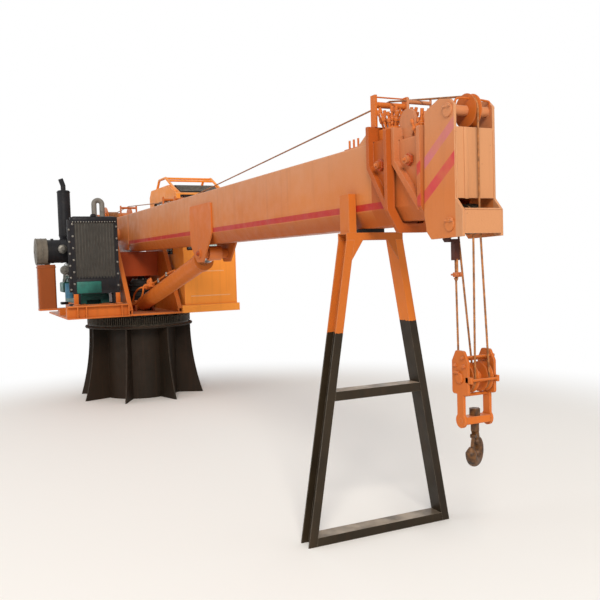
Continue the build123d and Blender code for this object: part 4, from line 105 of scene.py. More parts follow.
REST_FOOT_HALF = 0.462
REST_TAPER = 0.171
REST_FLANGE = 0.048

# Where one paint ends and another begins, in metres
BOOM_BAND_RUN = (0.13, 5.826)
BOOM_BAND_HEIGHT = (1.800, 1.836)
BOOM_BAND_REACH = 0.1165
COLLAR_RUN = (5.645, 6.0)
SLANT_START = 6.112
SLANT_RISE = 0.68
SLANT_REAR = 6.079
UPPER_SLANT = (1.949, 2.003)
LOWER_SLANT = (1.792, 1.852)
CAB_SILL = TURRET_SIDE + 0.03
GENERATOR_RUN = (0.19, 0.5)
FILTER_RUN = (0.0, 0.15)
CLEANER_CAP = -1.061
BREATHER_BEND = 1.90
ROD_EYE = LUG.x - 0.085
FAR = 1000.0


# Colours and nodes


def colours():
    """The colours that a user may change."""
    return bpy.context.scene.crane_colours


def sizes():
    """The sizes that a user may change."""
    return bpy.context.scene.crane_sizes


def linear(code):
    """sRGB hex colour as linear red, green, blue and alpha."""
    parts = [int(code[i:i + 2], 16) / 255 for i in (1, 3, 5)]
    return tuple(p / 12.92 if p <= 0.04045 else ((p + 0.055) / 1.055) ** 2.4 for p in parts) + (1.0,)


def tint(colour):
    """Linear colour of a hex code or of a user's own colour; a socket stays as it is."""
    if not isinstance(colour, str):
        return colour
    return linear(colour) if colour.startswith("#") else getattr(colours(), colour)


def add(tree, kind, inputs=None, **settings):
    """Adds a shader node with its settings, sets or links its inputs, and gives its outputs."""
    made = tree.nodes.new("ShaderNode" + kind)
    for key, value in settings.items():
        setattr(made, key, value)
    for socket, value in (inputs or {}).items():
        if isinstance(value, bpy.types.NodeSocket):
            tree.links.new(value, made.inputs[socket])
        else:
            made.inputs[socket].default_value = value
    return made.outputs


def blank(name):
    """A new material with its principled shader and its coordinates."""
    material = bpy.data.materials.new(name)
    material.use_nodes = True
    tree = material.node_tree
    return material, tree, tree.nodes["Principled BSDF"], add(tree, "TexCoord")


def mottle(tree, place, size_mm, low=0.0, high=1.0, detail=3.0, window=(0.35, 0.65)):
    """Uneven patches size_mm across, spread from low to high."""
    noise = add(tree, "TexNoise", {"Vector": place, "Scale": 1000 / size_mm, "Detail": detail})
    spread = {"From Min": window[0], "From Max": window[1], "To Min": low, "To Max": high}
    return add(tree, "MapRange", {"Value": noise["Fac"], **spread})["Result"]


def lay(tree, base, layers):
    """Colour after each layer is laid over the one before; a layer is its colour after its covers, and lies
    where all of them do."""
    base = tint(base)
    for cover, *others, colour in layers:
        for other in others:
            cover = add(tree, "Math", {0: cover, 1: other}, operation="MULTIPLY")[0]
        base = add(tree, "Mix", {0: cover, 6: base, 7: tint(colour)}, data_type="RGBA")[2]
    return base


def band(tree, value, low=-FAR, high=FAR):
    """Cover where a value lies between two limits."""
    above = add(tree, "Math", {0: value, 1: low}, operation="GREATER_THAN")[0]
    below = add(tree, "Math", {0: value, 1: high}, operation="LESS_THAN")[0]
    return add(tree, "Math", {0: above, 1: below}, operation="MULTIPLY")[0]


def surface(tree, shader, base, rough, height, depth):
    """Colour, roughness and relief of a finish; the relief lies on edges that are eased by 3 mm."""
    tree.links.new(base, shader.inputs["Base Color"])
    tree.links.new(rough, shader.inputs["Roughness"])
    eased = add(tree, "Bevel", {"Radius": 0.003}, samples=4)["Normal"]
    bump = add(tree, "Bump", {"Height": height, "Distance": depth, "Strength": 0.3, "Normal": eased})
    tree.links.new(bump["Normal"], shader.inputs["Normal"])


# Painted bands and parts


def boom_band(tree, coords, base):
    """Red band along both sides of the boom. High up the paint is paler, a painted reflection of the sky; low
    down and on the collar it is darker, painted shade."""
    at = add(tree, "SeparateXYZ", {"Vector": coords["Object"]})
    along = band(tree, at["X"], *BOOM_BAND_RUN)
    across = band(tree, at["Z"], *BOOM_BAND_HEIGHT)
    side = band(tree, at["Y"], -BOOM_BAND_REACH, BOOM_BAND_REACH)
    worn = mottle(tree, coords["Object"], 60, 0.84, 1.0, 4.0)
    # Paler high up: painted reflection of the sky
    high = add(tree, "MapRange", {"Value": at["Z"], "From Min": 1.90, "From Max": 2.13, "To Max": 0.55})
    # Darker low down and on the collar: painted shade
    low = add(tree, "MapRange", {"Value": at["Z"], "From Min": 1.86, "From Max": 1.74, "To Max": 0.95})
    painted_shade = {0: low["Result"], 1: band(tree, at["X"], *COLLAR_RUN)}
    return lay(tree, base, [
        (high["Result"], "#C08A66"),
        (add(tree, "Math", painted_shade, operation="MAXIMUM")[0], "#A9531F"),
        (along, across, side, worn, "#A8221F"),
    ])


def slanting_bands(reach, lower_red, upper_red):
    """Two red bands that rise towards the front, on what stands further out than reach; the paint between
    them is paler high up, a painted reflection of the sky, and paler still on the front, a painted highlight."""
    def paint(tree, coords, base):
        at = add(tree, "SeparateXYZ", {"Vector": coords["Object"]})
        along = add(tree, "Math", {0: at["X"], 1: SLANT_START}, operation="SUBTRACT")[0]
        level = add(tree, "Math", {0: along, 1: -SLANT_RISE, 2: at["Z"]}, operation="MULTIPLY_ADD")[0]
        flank = add(tree, "Math", {0: at["Y"]}, operation="ABSOLUTE")[0]
        side = band(tree, flank, reach)
        ahead = band(tree, at["X"], SLANT_REAR)
        faded = mottle(tree, coords["Object"], 130, 0.45, 1.0, 2.0)
        # Paler high up: painted reflection of the sky
        high = add(tree, "MapRange", {"Value": at["Z"], "From Min": 1.85, "From Max": 2.18, "To Max": 0.5})
        # Paler on the front face: painted highlight where it faces the light
        front = band(tree, at["X"], HEAD_FACE - 0.002, HEAD_FACE + 0.060)
        return lay(tree, base, [
            (high["Result"], "#C08A66"),
            (band(tree, level, *LOWER_SLANT), side, ahead, faded, lower_red),
            (band(tree, level, *UPPER_SLANT), side, ahead, faded, upper_red),
            (front, 0.75, "#C28E66"),
        ])
    return paint


def black_below(height):
    """Black paint below a height, with the ragged line that a brush leaves."""
    def paint(tree, coords, base):
        place = coords["Object"]
        z = add(tree, "SeparateXYZ", {"Vector": place})["Z"]
        ragged = {0: z, 1: mottle(tree, place, 14, -0.003, 0.003, 2.0)}
        low = band(tree, add(tree, "Math", ragged, operation="ADD")[0], high=height)
        return lay(tree, base, [(low, lay(tree, "#32291D", [(mottle(tree, place, 240), "#261F16")]))])
    return paint


def cab_sill(tree, coords, base):
    """The part of the deck that carries the cab has the cab's paint, brighter partly as painted light."""
    at = add(tree, "SeparateXYZ", {"Vector": coords["Object"]})
    return lay(tree, base, [(band(tree, at["Y"], CAB_SILL), "cab")])


def bolted_on(tree, coords, base):
    """Grey cast generator and blue filter among the green fittings, by their places along the engine."""
    at = add(tree, "SeparateXYZ", {"Vector": coords["Object"]})
    return lay(tree, base, [
        (band(tree, at["X"], *GENERATOR_RUN), "#8F8C86"),
        (band(tree, at["X"], *FILTER_RUN), "#4F82A0"),
    ])


def cap_and_bend(tree, coords, base):
    """Grey galvanised cap at the cleaner's outer end, and the breather's bend above the engine."""
    at = add(tree, "SeparateXYZ", {"Vector": coords["Object"]})
    return lay(tree, base, [
        (band(tree, at["Y"], high=CLEANER_CAP), "#6C6459"),
        (band(tree, at["Z"], BREATHER_BEND), "#7E7A74"),
    ])


# Finishes


def enamel(name, colour, shade, rough=0.40, marks=None, dusty=0.30):
    """Sprayed and brushed enamel on plate steel. To the eye: a satin coat with a faint orange peel, broad
    fading, rain streaks down the sides, dust on top, edges paled by wear and a painted highlight, a few small
    chips."""
    material, tree, shader, coords = blank(name)
    place = coords["Object"]
    base = lay(tree, colour, [(mottle(tree, place, 900, 0.0, 0.9), shade)])
    if marks:
        base = marks(tree, coords, base)
    down = add(tree, "Mapping", {"Vector": place, "Scale": (1.0, 1.0, 0.06)})["Vector"]
    facing = add(tree, "SeparateXYZ", {"Vector": coords["Normal"]})["Z"]
    dust = add(tree, "MapRange", {"Value": facing, "From Min": 0.6, "To Max": dusty})["Result"]
    eased = add(tree, "Bevel", {"Radius": 0.005}, samples=4)["Normal"]
    flat = add(tree, "NewGeometry")["Normal"]
    turn = add(tree, "VectorMath", {0: eased, 1: flat}, operation="DOT_PRODUCT")["Value"]
    worn = {"Value": turn, "From Min": 0.97, "From Max": 0.80, "To Max": 0.45}
    edge = add(tree, "MapRange", worn)["Result"]
    # Paler colour on the eased edges: partly worn paint, partly painted highlight where the edges catch the
    # light
    worn_and_lit_edge = lay(tree, base, [(0.42, "#E8D9C6")])
    base = lay(tree, base, [
        (mottle(tree, down, 42, 0.0, 0.13, 4.0, (0.52, 0.80)), "#5B3A26"),
        (dust, mottle(tree, place, 120, 0.3, 1.0, 4.0), "#CDBBA6"),
        (edge, mottle(tree, place, 45, 0.25, 1.0, 4.0), worn_and_lit_edge),
        (mottle(tree, place, 16, 0.0, 0.5, 2.0, (0.75, 0.79)), "#4A2C1E"),
    ])
    # The peel is about 3 mm across on the real paint, drawn at 9 mm so that it shows
    peel = {0: mottle(tree, place, 9, detail=1.0), 1: mottle(tree, place, 300, 0.0, 6.0, 2.0)}
    relief = add(tree, "Math", peel, operation="ADD")[0]
    surface(tree, shader, base, mottle(tree, place, 90, rough - 0.06, rough + 0.10), relief, 0.0006)
    shader.inputs["IOR"].default_value = 1.5
    shader.inputs["Specular IOR Level"].default_value = 0.17
    return material


def metal(name, colour, shade, rough, size_mm=25, scratch=(1, 1, 1), metallic=1.0, depth=0.0004):
    """Bare metal: uneven tone with tool or weather marks."""
    material, tree, shader, coords = blank(name)
    place = add(tree, "Mapping", {"Vector": coords["Object"], "Scale": scratch})["Vector"]
    base = lay(tree, colour, [(mottle(tree, place, size_mm, detail=4.0), shade)])
    worn = mottle(tree, place, size_mm * 0.6, rough - 0.08, rough + 0.12, 4.0)
    surface(tree, shader, base, worn, mottle(tree, place, size_mm * 0.3), depth)
    shader.inputs["Metallic"].default_value = metallic
    return material


def coated(name, colour, shade, rough, size_mm=6, depth=0.0004, grime="#1B1612", amount=0.35, marks=None):
    """Paint, rubber or plastic with a fine cast or moulded surface and grime in patches."""
    material, tree, shader, coords = blank(name)
    place = coords["Object"]
    base = lay(tree, colour, [(mottle(tree, place, 180, detail=4.0), shade)])
    if marks:
        base = marks(tree, coords, base)
    base = lay(tree, base, [(mottle(tree, place, 55, 0.0, amount, 5.0, (0.48, 0.72)), grime)])
    worn = mottle(tree, place, 40, rough - 0.08, rough + 0.1)
    surface(tree, shader, base, worn, mottle(tree, place, size_mm), depth)
    shader.inputs["Specular IOR Level"].default_value = 0.20
    return material


def chromed(name):
    """Hard chrome on the luffing rod: a bright mirror, uneven where the oil has dried; its eye is painted."""
    material, tree, shader, coords = blank(name)
    place = coords["Object"]
    painted = band(tree, add(tree, "SeparateXYZ", {"Vector": place})["X"], ROD_EYE)
    base = lay(tree, "#D9DBDD", [(mottle(tree, place, 60), "#BFC2C4"), (painted, "orange")])
    bare = add(tree, "Math", {0: 1.0, 1: painted}, operation="SUBTRACT")[0]
    gloss = add(tree, "MapRange", {"Value": painted, "To Min": 0.14, "To Max": 0.42})["Result"]
    tree.links.new(base, shader.inputs["Base Color"])
    tree.links.new(bare, shader.inputs["Metallic"])
    tree.links.new(gloss, shader.inputs["Roughness"])
    return material


def finned(name):
    """Radiator core: rows of slender folded fins, dull and dusty, seen as fine level lines; the dark rows
    between them are painted shade.
    """
    material, tree, shader, coords = blank(name)
    place = coords["Object"]
    # Fins stand 2.5 mm apart on the real core, drawn at 7 mm so that they show; a wave repeats at 2 pi / 20
    repeat = 2 * math.pi / 20 / 0.007
    rows = add(tree, "TexWave", {"Vector": place, "Scale": repeat}, bands_direction="Z")["Fac"]
    # The dark rows are painted shade in the gaps between the fins
    base = lay(tree, "#43413C", [(rows, "#272623"), (mottle(tree, place, 70, 0.0, 0.4, 4.0), "#3B362D")])
    surface(tree, shader, base, mottle(tree, place, 60, 0.5, 0.7), rows, 0.002)
    shader.inputs["Metallic"].default_value = 0.3
    return material


def glass(name):
    """Toughened glass: clear with a faint green tint and a dusty film."""
    material, tree, shader, coords = blank(name)
    tree.links.new(mottle(tree, coords["Object"], 160, 0.03, 0.16, 4.0), shader.inputs["Roughness"])
    shader.inputs["Base Color"].default_value = linear("#DCE6E2")
    shader.inputs["Transmission Weight"].default_value = 1.0
    shader.inputs["IOR"].default_value = 1.45
    return material


def stitched(name):
    """Grained vinyl on foam: a soft sheen over a pebbled grain about 3 mm across."""
    material, tree, shader, coords = blank(name)
    place = coords["Object"]
    pebbles = add(tree, "TexVoronoi", {"Vector": place, "Scale": 1000 / 3})["Distance"]
    base = lay(tree, "#2B2B2F", [(mottle(tree, place, 90, 0.0, 0.8), "#1D1D20")])
    surface(tree, shader, base, mottle(tree, place, 30, 0.42, 0.58), pebbles, 0.0008)
    shader.inputs["Sheen Weight"].default_value = 0.15
    return material


# Each finish: the record's slot that it belongs to, how it is made, and what it is made with
FINISHES = {
    # Crane orange: warm, slightly chalky alkyd enamel; the boom's paler, hazier orange is a painted
    # reflection of the sky
    "enamel_orange": ("orange_paint", enamel, dict(colour="orange", shade="#B85F24")),
    "enamel_deck": ("orange_paint", enamel, dict(colour="orange", shade="#B85F24", marks=cab_sill)),
    "enamel_boom": ("orange_paint", enamel, dict(colour="boom", shade="#BC6C34", marks=boom_band)),
    "enamel_head": ("orange_paint", enamel, dict(
        colour="boom", shade="#BF6C36", marks=slanting_bands(0.1125, "#BF3F42", "#BE6C70"))),
    # The collar of the middle section: a darker orange, painted shade
    "enamel_collar": ("orange_paint", enamel, dict(
        colour="#B8622F", shade="#A85726", marks=slanting_bands(0.1245, "#B42C2E", "#B42C2E"))),
    # The tank stands in the shade; its darker orange is painted shade
    "enamel_tank": ("orange_paint", enamel, dict(colour="#974C1F", shade="#87421A")),
    # Pressed ribs of the cab: their pale paint is a painted highlight where the ribs catch the light
    "enamel_pale": ("orange_paint", enamel, dict(colour="#F4BC86", shade="#E8A768")),
    # The cab and its rails: a yellower orange, its brightness partly painted light on the cab's front
    "enamel_cab": ("orange_paint", enamel, dict(colour="cab", shade="#E58A34")),
    # The rest: orange over black, dusty on top; its far leg's brighter orange is painted light on a face the
    # lamps reach less
    "enamel_rest_near": ("orange_paint", enamel, dict(
        colour="rest", shade="#B36024", marks=black_below(1.147), dusty=0.6)),
    "enamel_rest_far": ("orange_paint", enamel, dict(
        colour="#DE7A2C", shade="#CE6F28", marks=black_below(1.189), dusty=0.6)),
    # Inside of the turret, where little light reaches: the red-brown is painted shade, tinted as by light
    # bounced between the orange plates
    "enamel_turret": ("orange_paint", enamel, dict(colour="#B24A1E", shade="#8C3B1A", rough=0.5)),
    # Bitumen black on the pedestal: dull, dusty, with rust bleeding through
    "enamel_black": ("black_paint", enamel, dict(colour="black", shade="#2A1F16", rough=0.58)),
    # Gear teeth: machined steel under old oil
    "oiled_gear_steel": ("gear_steel", metal, dict(
        colour="#4C4438", shade="#2A251E", rough=0.42, size_mm=20, metallic=0.7)),
    # Zinc-plated fasteners: pale grey, going dull
    "zinc_steel": ("bright_steel", metal, dict(colour="#98948C", shade="#74716A", rough=0.38, size_mm=12)),
    # Turned pins and tubes: bright steel with fine rings round them
    "turned_steel": ("bright_steel", metal, dict(
        colour="#B4B0A8", shade="#8D8981", rough=0.3, size_mm=8, scratch=(1, 12, 1))),
    "hard_chrome": ("cylinder_chrome", chromed, {}),
    # Forged hook: scale and rust under oil
    "forged_iron": ("gear_steel", metal, dict(
        colour="#6A431A", shade="#2A190C", rough=0.5, size_mm=26, metallic=0.2, depth=0.001)),
    # Exhaust manifold: cast iron burnt brown
    "burnt_iron": ("gear_steel", metal, dict(
        colour="#5B4538", shade="#37291F", rough=0.66, size_mm=18, metallic=0.5, depth=0.001)),
    # Cast aluminium: grey and matt, lightly pitted
    "cast_aluminium": ("bright_steel", metal, dict(
        colour="#7C7973", shade="#5F5C56", rough=0.45, size_mm=10, metallic=0.9)),
    # Air cleaner cap: weathered galvanised sheet
    "galvanised_sheet": ("bright_steel", metal, dict(
        colour="#716A5F", shade="#544D44", rough=0.5, size_mm=35, metallic=0.4)),
    # Wire rope: strands under brown grease
    "greased_rope": ("rope_steel", metal, dict(
        colour="#B5733B", shade="#80502A", rough=0.5, size_mm=22, metallic=0.3)),
    # Engine castings: bluish green gloss over a sand-cast skin, with oily grime
    "engine_enamel": ("engine_paint", coated, dict(
        colour="#2C6C62", shade="#1D4D47", rough=0.4, size_mm=8, depth=0.0008)),
    "engine_fitting": ("engine_paint", coated, dict(
        colour="#2C6C62", shade="#1D4D47", rough=0.42, size_mm=8, depth=0.0008, marks=bolted_on)),
    # Stove enamel on sheet steel: near black and satin, with brown dust
    "stove_black": ("dark_metal", coated, dict(
        colour="#1F1F23", shade="#161619", rough=0.5, size_mm=3, depth=0.0003, grime="#3A3027", amount=0.2)),
    "radiator_fin": ("radiator_grey", finned, {}),
    # Flat tubes before the fins: dull dusty grey
    "radiator_tube": ("radiator_grey", coated, dict(
        colour="#4D4A45", shade="#3D3B37", rough=0.55, size_mm=5, depth=0.0003)),
    # Air cleaner: black sheet with a galvanised cap, and the bright bend of the breather beside it
    "cleaner_sheet": ("dark_metal", coated, dict(
        colour="#1C1C1F", shade="#141416", rough=0.45, size_mm=4, depth=0.0003, marks=cap_and_bend)),
    # Red lead primer on the wedge socket: dark brown and matt
    "red_lead": ("orange_paint", coated, dict(
        colour="#5A2E24", shade="#3A1F18", rough=0.55, size_mm=5, depth=0.0006)),
    # Moulded rubber: dull black with a chalky bloom
    "moulded_rubber": ("rubber", coated, dict(
        colour="#252423", shade="#191817", rough=0.66, size_mm=3, depth=0.0005, grime="#3B352E", amount=0.3)),
    # Moulded plastic: black with a slight shine on a fine grain
    "moulded_plastic": ("grip", coated, dict(
        colour="#1C1C1E", shade="#141415", rough=0.42, size_mm=2, depth=0.0002)),
    "grained_vinyl": ("vinyl", stitched, {}),
    "window_glass": ("glass", glass, {}),
}


def finish(name):
    """The named finish, made when it is first asked for."""
    maker, made_with = FINISHES[name][1:]
    return bpy.data.materials.get(name) or maker(name, **made_with)


# Shapes

EASED = {"profile": 0.5, "affect": "EDGES", "material": -1}
GOLDEN_ANGLE = math.radians(137.5)
WELD_RUN = 0.06


def piece(name, shape, body, material, sharp=35):
    """Finishes a bmesh as an object of its own that rides on a body."""
    bmesh.ops.recalc_face_normals(shape, faces=shape.faces)
    mesh = bpy.data.meshes.new(name)
    shape.to_mesh(mesh)
    shape.free()
    mesh.shade_smooth()
    mesh.set_sharp_from_angle(angle=math.radians(sharp))
    made = bpy.data.objects.new(name, mesh)
    bpy.context.scene.collection.objects.link(made)
    mesh.materials.append(finish(material))
    if body:
        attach(made, body)
    return made


def absorb(shape, part, count=1, step=(0, 0, 0)):
    """Adds a finished part to a shape, once or several times a step apart."""
    mesh = bpy.data.meshes.new("part")
    part.to_mesh(mesh)
    part.free()
    for _ in range(count):
        shape.from_mesh(mesh)
        mesh.transform(Matrix.Translation(step))
    bpy.data.meshes.remove(mesh)


def aim(direction):
    """Rotation that turns +Z to a direction."""
    return Vector(direction).to_track_quat("Z", "Y").to_matrix().to_4x4()


def bar(shape, corner, opposite, bevel=0.002):
    """Straight block between two opposite corners, its edges eased."""
    corner, opposite = Vector(corner), Vector(opposite)
    extent = [abs(length) for length in opposite - corner]
    part = bmesh.new()
    bmesh.ops.create_cube(part, size=1.0)
    bmesh.ops.scale(part, vec=extent, verts=part.verts)
    bmesh.ops.translate(part, vec=(corner + opposite) / 2, verts=part.verts)
    bmesh.ops.bevel(part, geom=part.edges[:], offset=bevel, segments=2, **EASED)
    absorb(shape, part)


def rod(shape, start, end, radius, sides=16, top=None, bevel=0.0):
    """Round bar from one point to another, tapered where top is given."""
    start, end = Vector(start), Vector(end)
    place = Matrix.Translation((start + end) / 2) @ aim(end - start)
    part = bmesh.new()
    bmesh.ops.create_cone(part, cap_ends=True, segments=sides, radius1=radius,
                          radius2=radius if top is None else top, depth=(end - start).length, matrix=place)
    if bevel:
        rims = [e for e in part.edges if any(len(f.verts) > 4 for f in e.link_faces)]
        bmesh.ops.bevel(part, geom=rims, offset=bevel, segments=2, **EASED)
    absorb(shape, part)


def bolt(shape, at, direction, size):
    """Hexagon head on a washer with its thread's end; size is the thread's diameter."""
    at, direction = Vector(at), Vector(direction).normalized()
    rod(shape, at, at + direction * size * 0.18, size * 1.05, 14)
    rod(shape, at + direction * size * 0.18, at + direction * size * 0.85, size * 0.9, 6)
    rod(shape, at + direction * size * 0.85, at + direction * size * 1.1, size * 0.45, 10)


def bolts(shape, places, direction, size):
    """The same bolt at several places."""
    for place in places:
        bolt(shape, place, direction, size)


def bolt_circle(shape, centre, axis, radius, count, size):
    """Bolts round a centre, their heads towards the axis direction."""
    axis = Vector(axis).normalized()
    arm = axis.orthogonal().normalized() * radius
    for index in range(count):
        turn = Matrix.Rotation(2 * math.pi * index / count, 3, axis)
        bolt(shape, Vector(centre) + turn @ arm, axis, size)


def fittings(shape, centre, spread, count, length):
    """Cluster of pipe fittings: nuts and stubs set round a centre, leaning outwards."""
    for index in range(count):
        turn = index * GOLDEN_ANGLE
        reach = math.sqrt((index + 0.5) / count)
        foot = centre + Vector((spread[0] * reach * math.cos(turn), spread[1] * reach * math.sin(turn), 0))
        lean = Vector((0.5 * reach * math.cos(turn), 0.35 * reach * math.sin(turn), 1)).normalized()
        tall = length * (1 - 0.55 * (index % 3) / 2)
        rod(shape, foot - lean * 0.004, foot + lean * tall * 0.8, 0.006, 10)
        rod(shape, foot + lean * tall * 0.35, foot + lean * tall * 0.55, 0.011, 6)
        rod(shape, foot + lean * tall * 0.75, foot + lean * tall, 0.009, 6)


def ball(shape, centre, radius, sides=16):
    """Round ball."""
    bmesh.ops.create_uvsphere(shape, u_segments=sides, v_segments=sides // 2, radius=radius,
                              matrix=Matrix.Translation(centre))


def turned(shape, profile, centre, direction, sides=32):
    """Solid of revolution: profile gives (distance along the axis, radius) pairs from end to end."""
    part = bmesh.new()
    place = Matrix.Translation(centre) @ aim(direction)
    made = [part.verts.new(place @ Vector((radius, 0, along))) for along, radius in profile]
    edges = [part.edges.new(pair) for pair in zip(made, made[1:])]
    bmesh.ops.spin(part, geom=made + edges, cent=centre, axis=Vector(direction).normalized(),
                   angle=2 * math.pi, steps=sides, use_merge=True, use_duplicate=False)
    bmesh.ops.remove_doubles(part, verts=part.verts, dist=1e-6)
    absorb(shape, part)


def boss(shape, centre, direction, radius, straight, height, top, sides=32):
    """Round cap on a face, straight at first and then tapered to its top radius."""
    profile = [(-0.001, 0), (-0.001, radius), (straight, radius), (height, top), (height, 0)]
    turned(shape, profile, centre, direction, sides)


def hoop(shape, centre, axis, radius, thickness, sides=48):
    """Round ring of round bar."""
    part = bmesh.new()
    axis = Vector(axis).normalized()
    out = axis.orthogonal().normalized()
    start = Matrix.Translation(Vector(centre) + out * radius) @ aim(axis.cross(out))
    bmesh.ops.create_circle(part, segments=10, radius=thickness, matrix=start)
    bmesh.ops.spin(part, geom=part.verts[:] + part.edges[:], cent=centre, axis=axis,
                   angle=2 * math.pi, steps=sides, use_merge=True, use_duplicate=False)
    absorb(shape, part)


def plate(shape, outline, push, bevel=0.0015):
    """Flat plate: an outline of points, pushed along a vector by its thickness."""
    part = bmesh.new()
    face = part.faces.new([part.verts.new(point) for point in outline])
    grown = bmesh.ops.extrude_face_region(part, geom=[face], use_keep_orig=True)["geom"]
    bmesh.ops.translate(part, vec=push, verts=[v for v in grown if isinstance(v, bmesh.types.BMVert)])
    bmesh.ops.bevel(part, geom=part.edges[:], offset=bevel, segments=1, **EASED)
    absorb(shape, part)


def weld(shape, start, end, radius=0.005):
    """Weld bead along a joint: short overlapping runs."""
    start, end = Vector(start), Vector(end)
    runs = max(1, round((end - start).length / WELD_RUN))
    for index in range(runs):
        first = start.lerp(end, index / runs)
        last = start.lerp(end, (index + 1.1) / runs)
        rod(shape, first, last, radius, 8, radius * 0.8)


def pipe(name, points, radius, body, material):
    """Bent pipe on a smooth line through its control points."""
    curve = bpy.data.curves.new(name, "CURVE")
    curve.dimensions = "3D"
    spline = curve.splines.new("NURBS")
    spline.points.add(len(points) - 1)
    for point, place in zip(spline.points, points):
        point.co = (*place, 1.0)
    spline.order_u = 3
    spline.use_endpoint_u = True
    curve.resolution_u = 12
    curve.bevel_depth = radius
    curve.bevel_resolution = 4
    curve.use_fill_caps = True
    made = bpy.data.objects.new(name, curve)
    bpy.context.scene.collection.objects.link(made)
    curve.materials.append(finish(material))
    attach(made, body)
    return made


# Wire rope

STRAND_POINTS = 4
STRANDS = 6
VALLEY = 0.78


def rope_section(shape, centre, direction):
    """Six strands round a core, as one lobed outline across the rope."""
    centre = Vector(centre)
    made = bmesh.ops.create_circle(shape, segments=STRANDS * STRAND_POINTS, radius=sizes().rope_diameter / 2,
                                   matrix=Matrix.Translation(centre) @ aim(direction))["verts"]
    for vert in made[2::STRAND_POINTS]:
        vert.co = centre + (vert.co - centre) * VALLEY
    return made + list({e for v in made for e in v.link_edges})


def rope_run(shape, start, end):
    """Straight rope: one lay of its strands, set one behind the other along the run."""
    start, end = Vector(start), Vector(end)
    lays = max(1, round((end - start).length / sizes().rope_lay))
    pitch = (end - start) / lays
    part = bmesh.new()
    bmesh.ops.spin(part, geom=rope_section(part, start, pitch), cent=start, axis=pitch.normalized(),
                   dvec=pitch / 8, angle=2 * math.pi, steps=8, use_duplicate=False)
    absorb(shape, part, lays, pitch)


def rope_turn(shape, centre, start, axis, angle, climb=0.0, turns=1, per_turn=40):
    """Rope laid round a sheave or drum from a start point; climb is its side step in each turn."""
    centre, start, axis = Vector(centre), Vector(start), Vector(axis)
    heading = axis.cross(start - centre) * math.copysign(1, angle)
    share = abs(angle) / (2 * math.pi)
    steps = max(8, math.ceil(share * per_turn))
    part = bmesh.new()
    bmesh.ops.spin(part, geom=rope_section(part, start, heading), cent=centre, axis=axis,
                   dvec=axis * climb * share / steps, angle=angle, steps=steps, use_duplicate=False)
    absorb(shape, part, turns, axis * climb)


def rope_piece(name, shape, body, node):
    """Joins a rope's runs, closes its ends and puts it in the place of its plain solid."""
    bmesh.ops.remove_doubles(shape, verts=shape.verts, dist=1e-5)
    bmesh.ops.holes_fill(shape, edges=[e for e in shape.edges if e.is_boundary], sides=30)
    made = piece(name, shape, body, "greased_rope", 60)
    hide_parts(node)
    return made


class CRANE_OT_ropes(bpy.types.Operator):
    """Hoist rope from the drum to the hook block, laid up from six strands"""

    bl_idname = "crane.ropes"
    bl_label = "Hoist rope"

    def execute(self, context):
        to_root = ROOT_TURN - WINCH
        slope = math.atan2(to_root.z, to_root.x) - math.asin(WINDING_RADIUS / to_root.length)
        leave = WINCH + Vector((-math.sin(slope), 0, math.cos(slope))) * WINDING_RADIUS
        to_head = HEAD_SHEAVE - GUIDE_TURN
        rise = math.atan2(to_head.z, to_head.x) + math.asin(SHEAVE_GROOVE / to_head.length)
        over = HEAD_SHEAVE + Vector((-math.sin(rise), 0, math.cos(rise))) * SHEAVE_GROOVE
        run = Vector((1, 0, math.tan(rise)))
        guide_end = GUIDE_TURN + run * (GUIDE_EXIT - GUIDE_TURN.x)
        mid_end = GUIDE_TURN + run * (MIDDLE_GUIDE_EXIT - GUIDE_TURN.x)

        shape = bmesh.new()
        start = leave - Y * WINDING_TURNS * WINDING_PITCH
        drum_end = (WINCH.x, start.y, WINCH.z)
        rope_turn(shape, drum_end, start, Y, 2 * math.pi, WINDING_PITCH, WINDING_TURNS, 48)
        rope_piece("rope_on_drum", shape, "drum", "drum_rope")

        shape = bmesh.new()
        corners = [leave, ROOT_TURN, SHOE_TURN, GUIDE_TURN, guide_end]
        for first, second in zip(corners, corners[1:]):
            rope_run(shape, first, second)
        for corner in corners[1:-1]:
            ball(shape, corner, sizes().rope_diameter / 2)
        rope_piece("rope_along_boom", shape, "boom", "hoist_rope_base")

        shape = bmesh.new()
        rope_run(shape, guide_end, mid_end)
        made = rope_piece("rope_to_middle_section", shape, None, "hoist_rope_mid")
        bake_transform(made)

        shape = bmesh.new()
        front = HEAD_SHEAVE + X * SHEAVE_GROOVE
        rope_run(shape, mid_end, over)
        rope_turn(shape, HEAD_SHEAVE, over, Y, math.pi / 2 + rise)
        rope_run(shape, front, (front.x, 0, HANG.z))
        made = rope_piece("rope_over_head", shape, None, "hoist_rope_tip")
        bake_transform(made)

        shape = bmesh.new()
        ahead, behind = X * FALL_RADIUS, X * -FALL_RADIUS
        right, left, back = Y * BLOCK_LANE, Y * -BLOCK_LANE, Y * RETURN_LANE
        socket = Vector((HANG.x - FALL_RADIUS, SOCKET_LANE, HANG.z - SOCKET_DROP))
        rope_run(shape, HANG + ahead, BLOCK + right + ahead)
        rope_turn(shape, BLOCK + right, BLOCK + right + ahead, Y, math.pi)
        rope_run(shape, BLOCK + right + behind, HANG + back + behind)
        rope_turn(shape, HANG + back, HANG + back + behind, Y, math.pi)
        rope_run(shape, HANG + back + ahead, BLOCK + left + ahead)
        rope_turn(shape, BLOCK + left, BLOCK + left + ahead, Y, math.pi)
        rope_run(shape, BLOCK + left + behind, socket)
        made = rope_piece("rope_falls", shape, None, "falls")
        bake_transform(made)
        return {"FINISHED"}


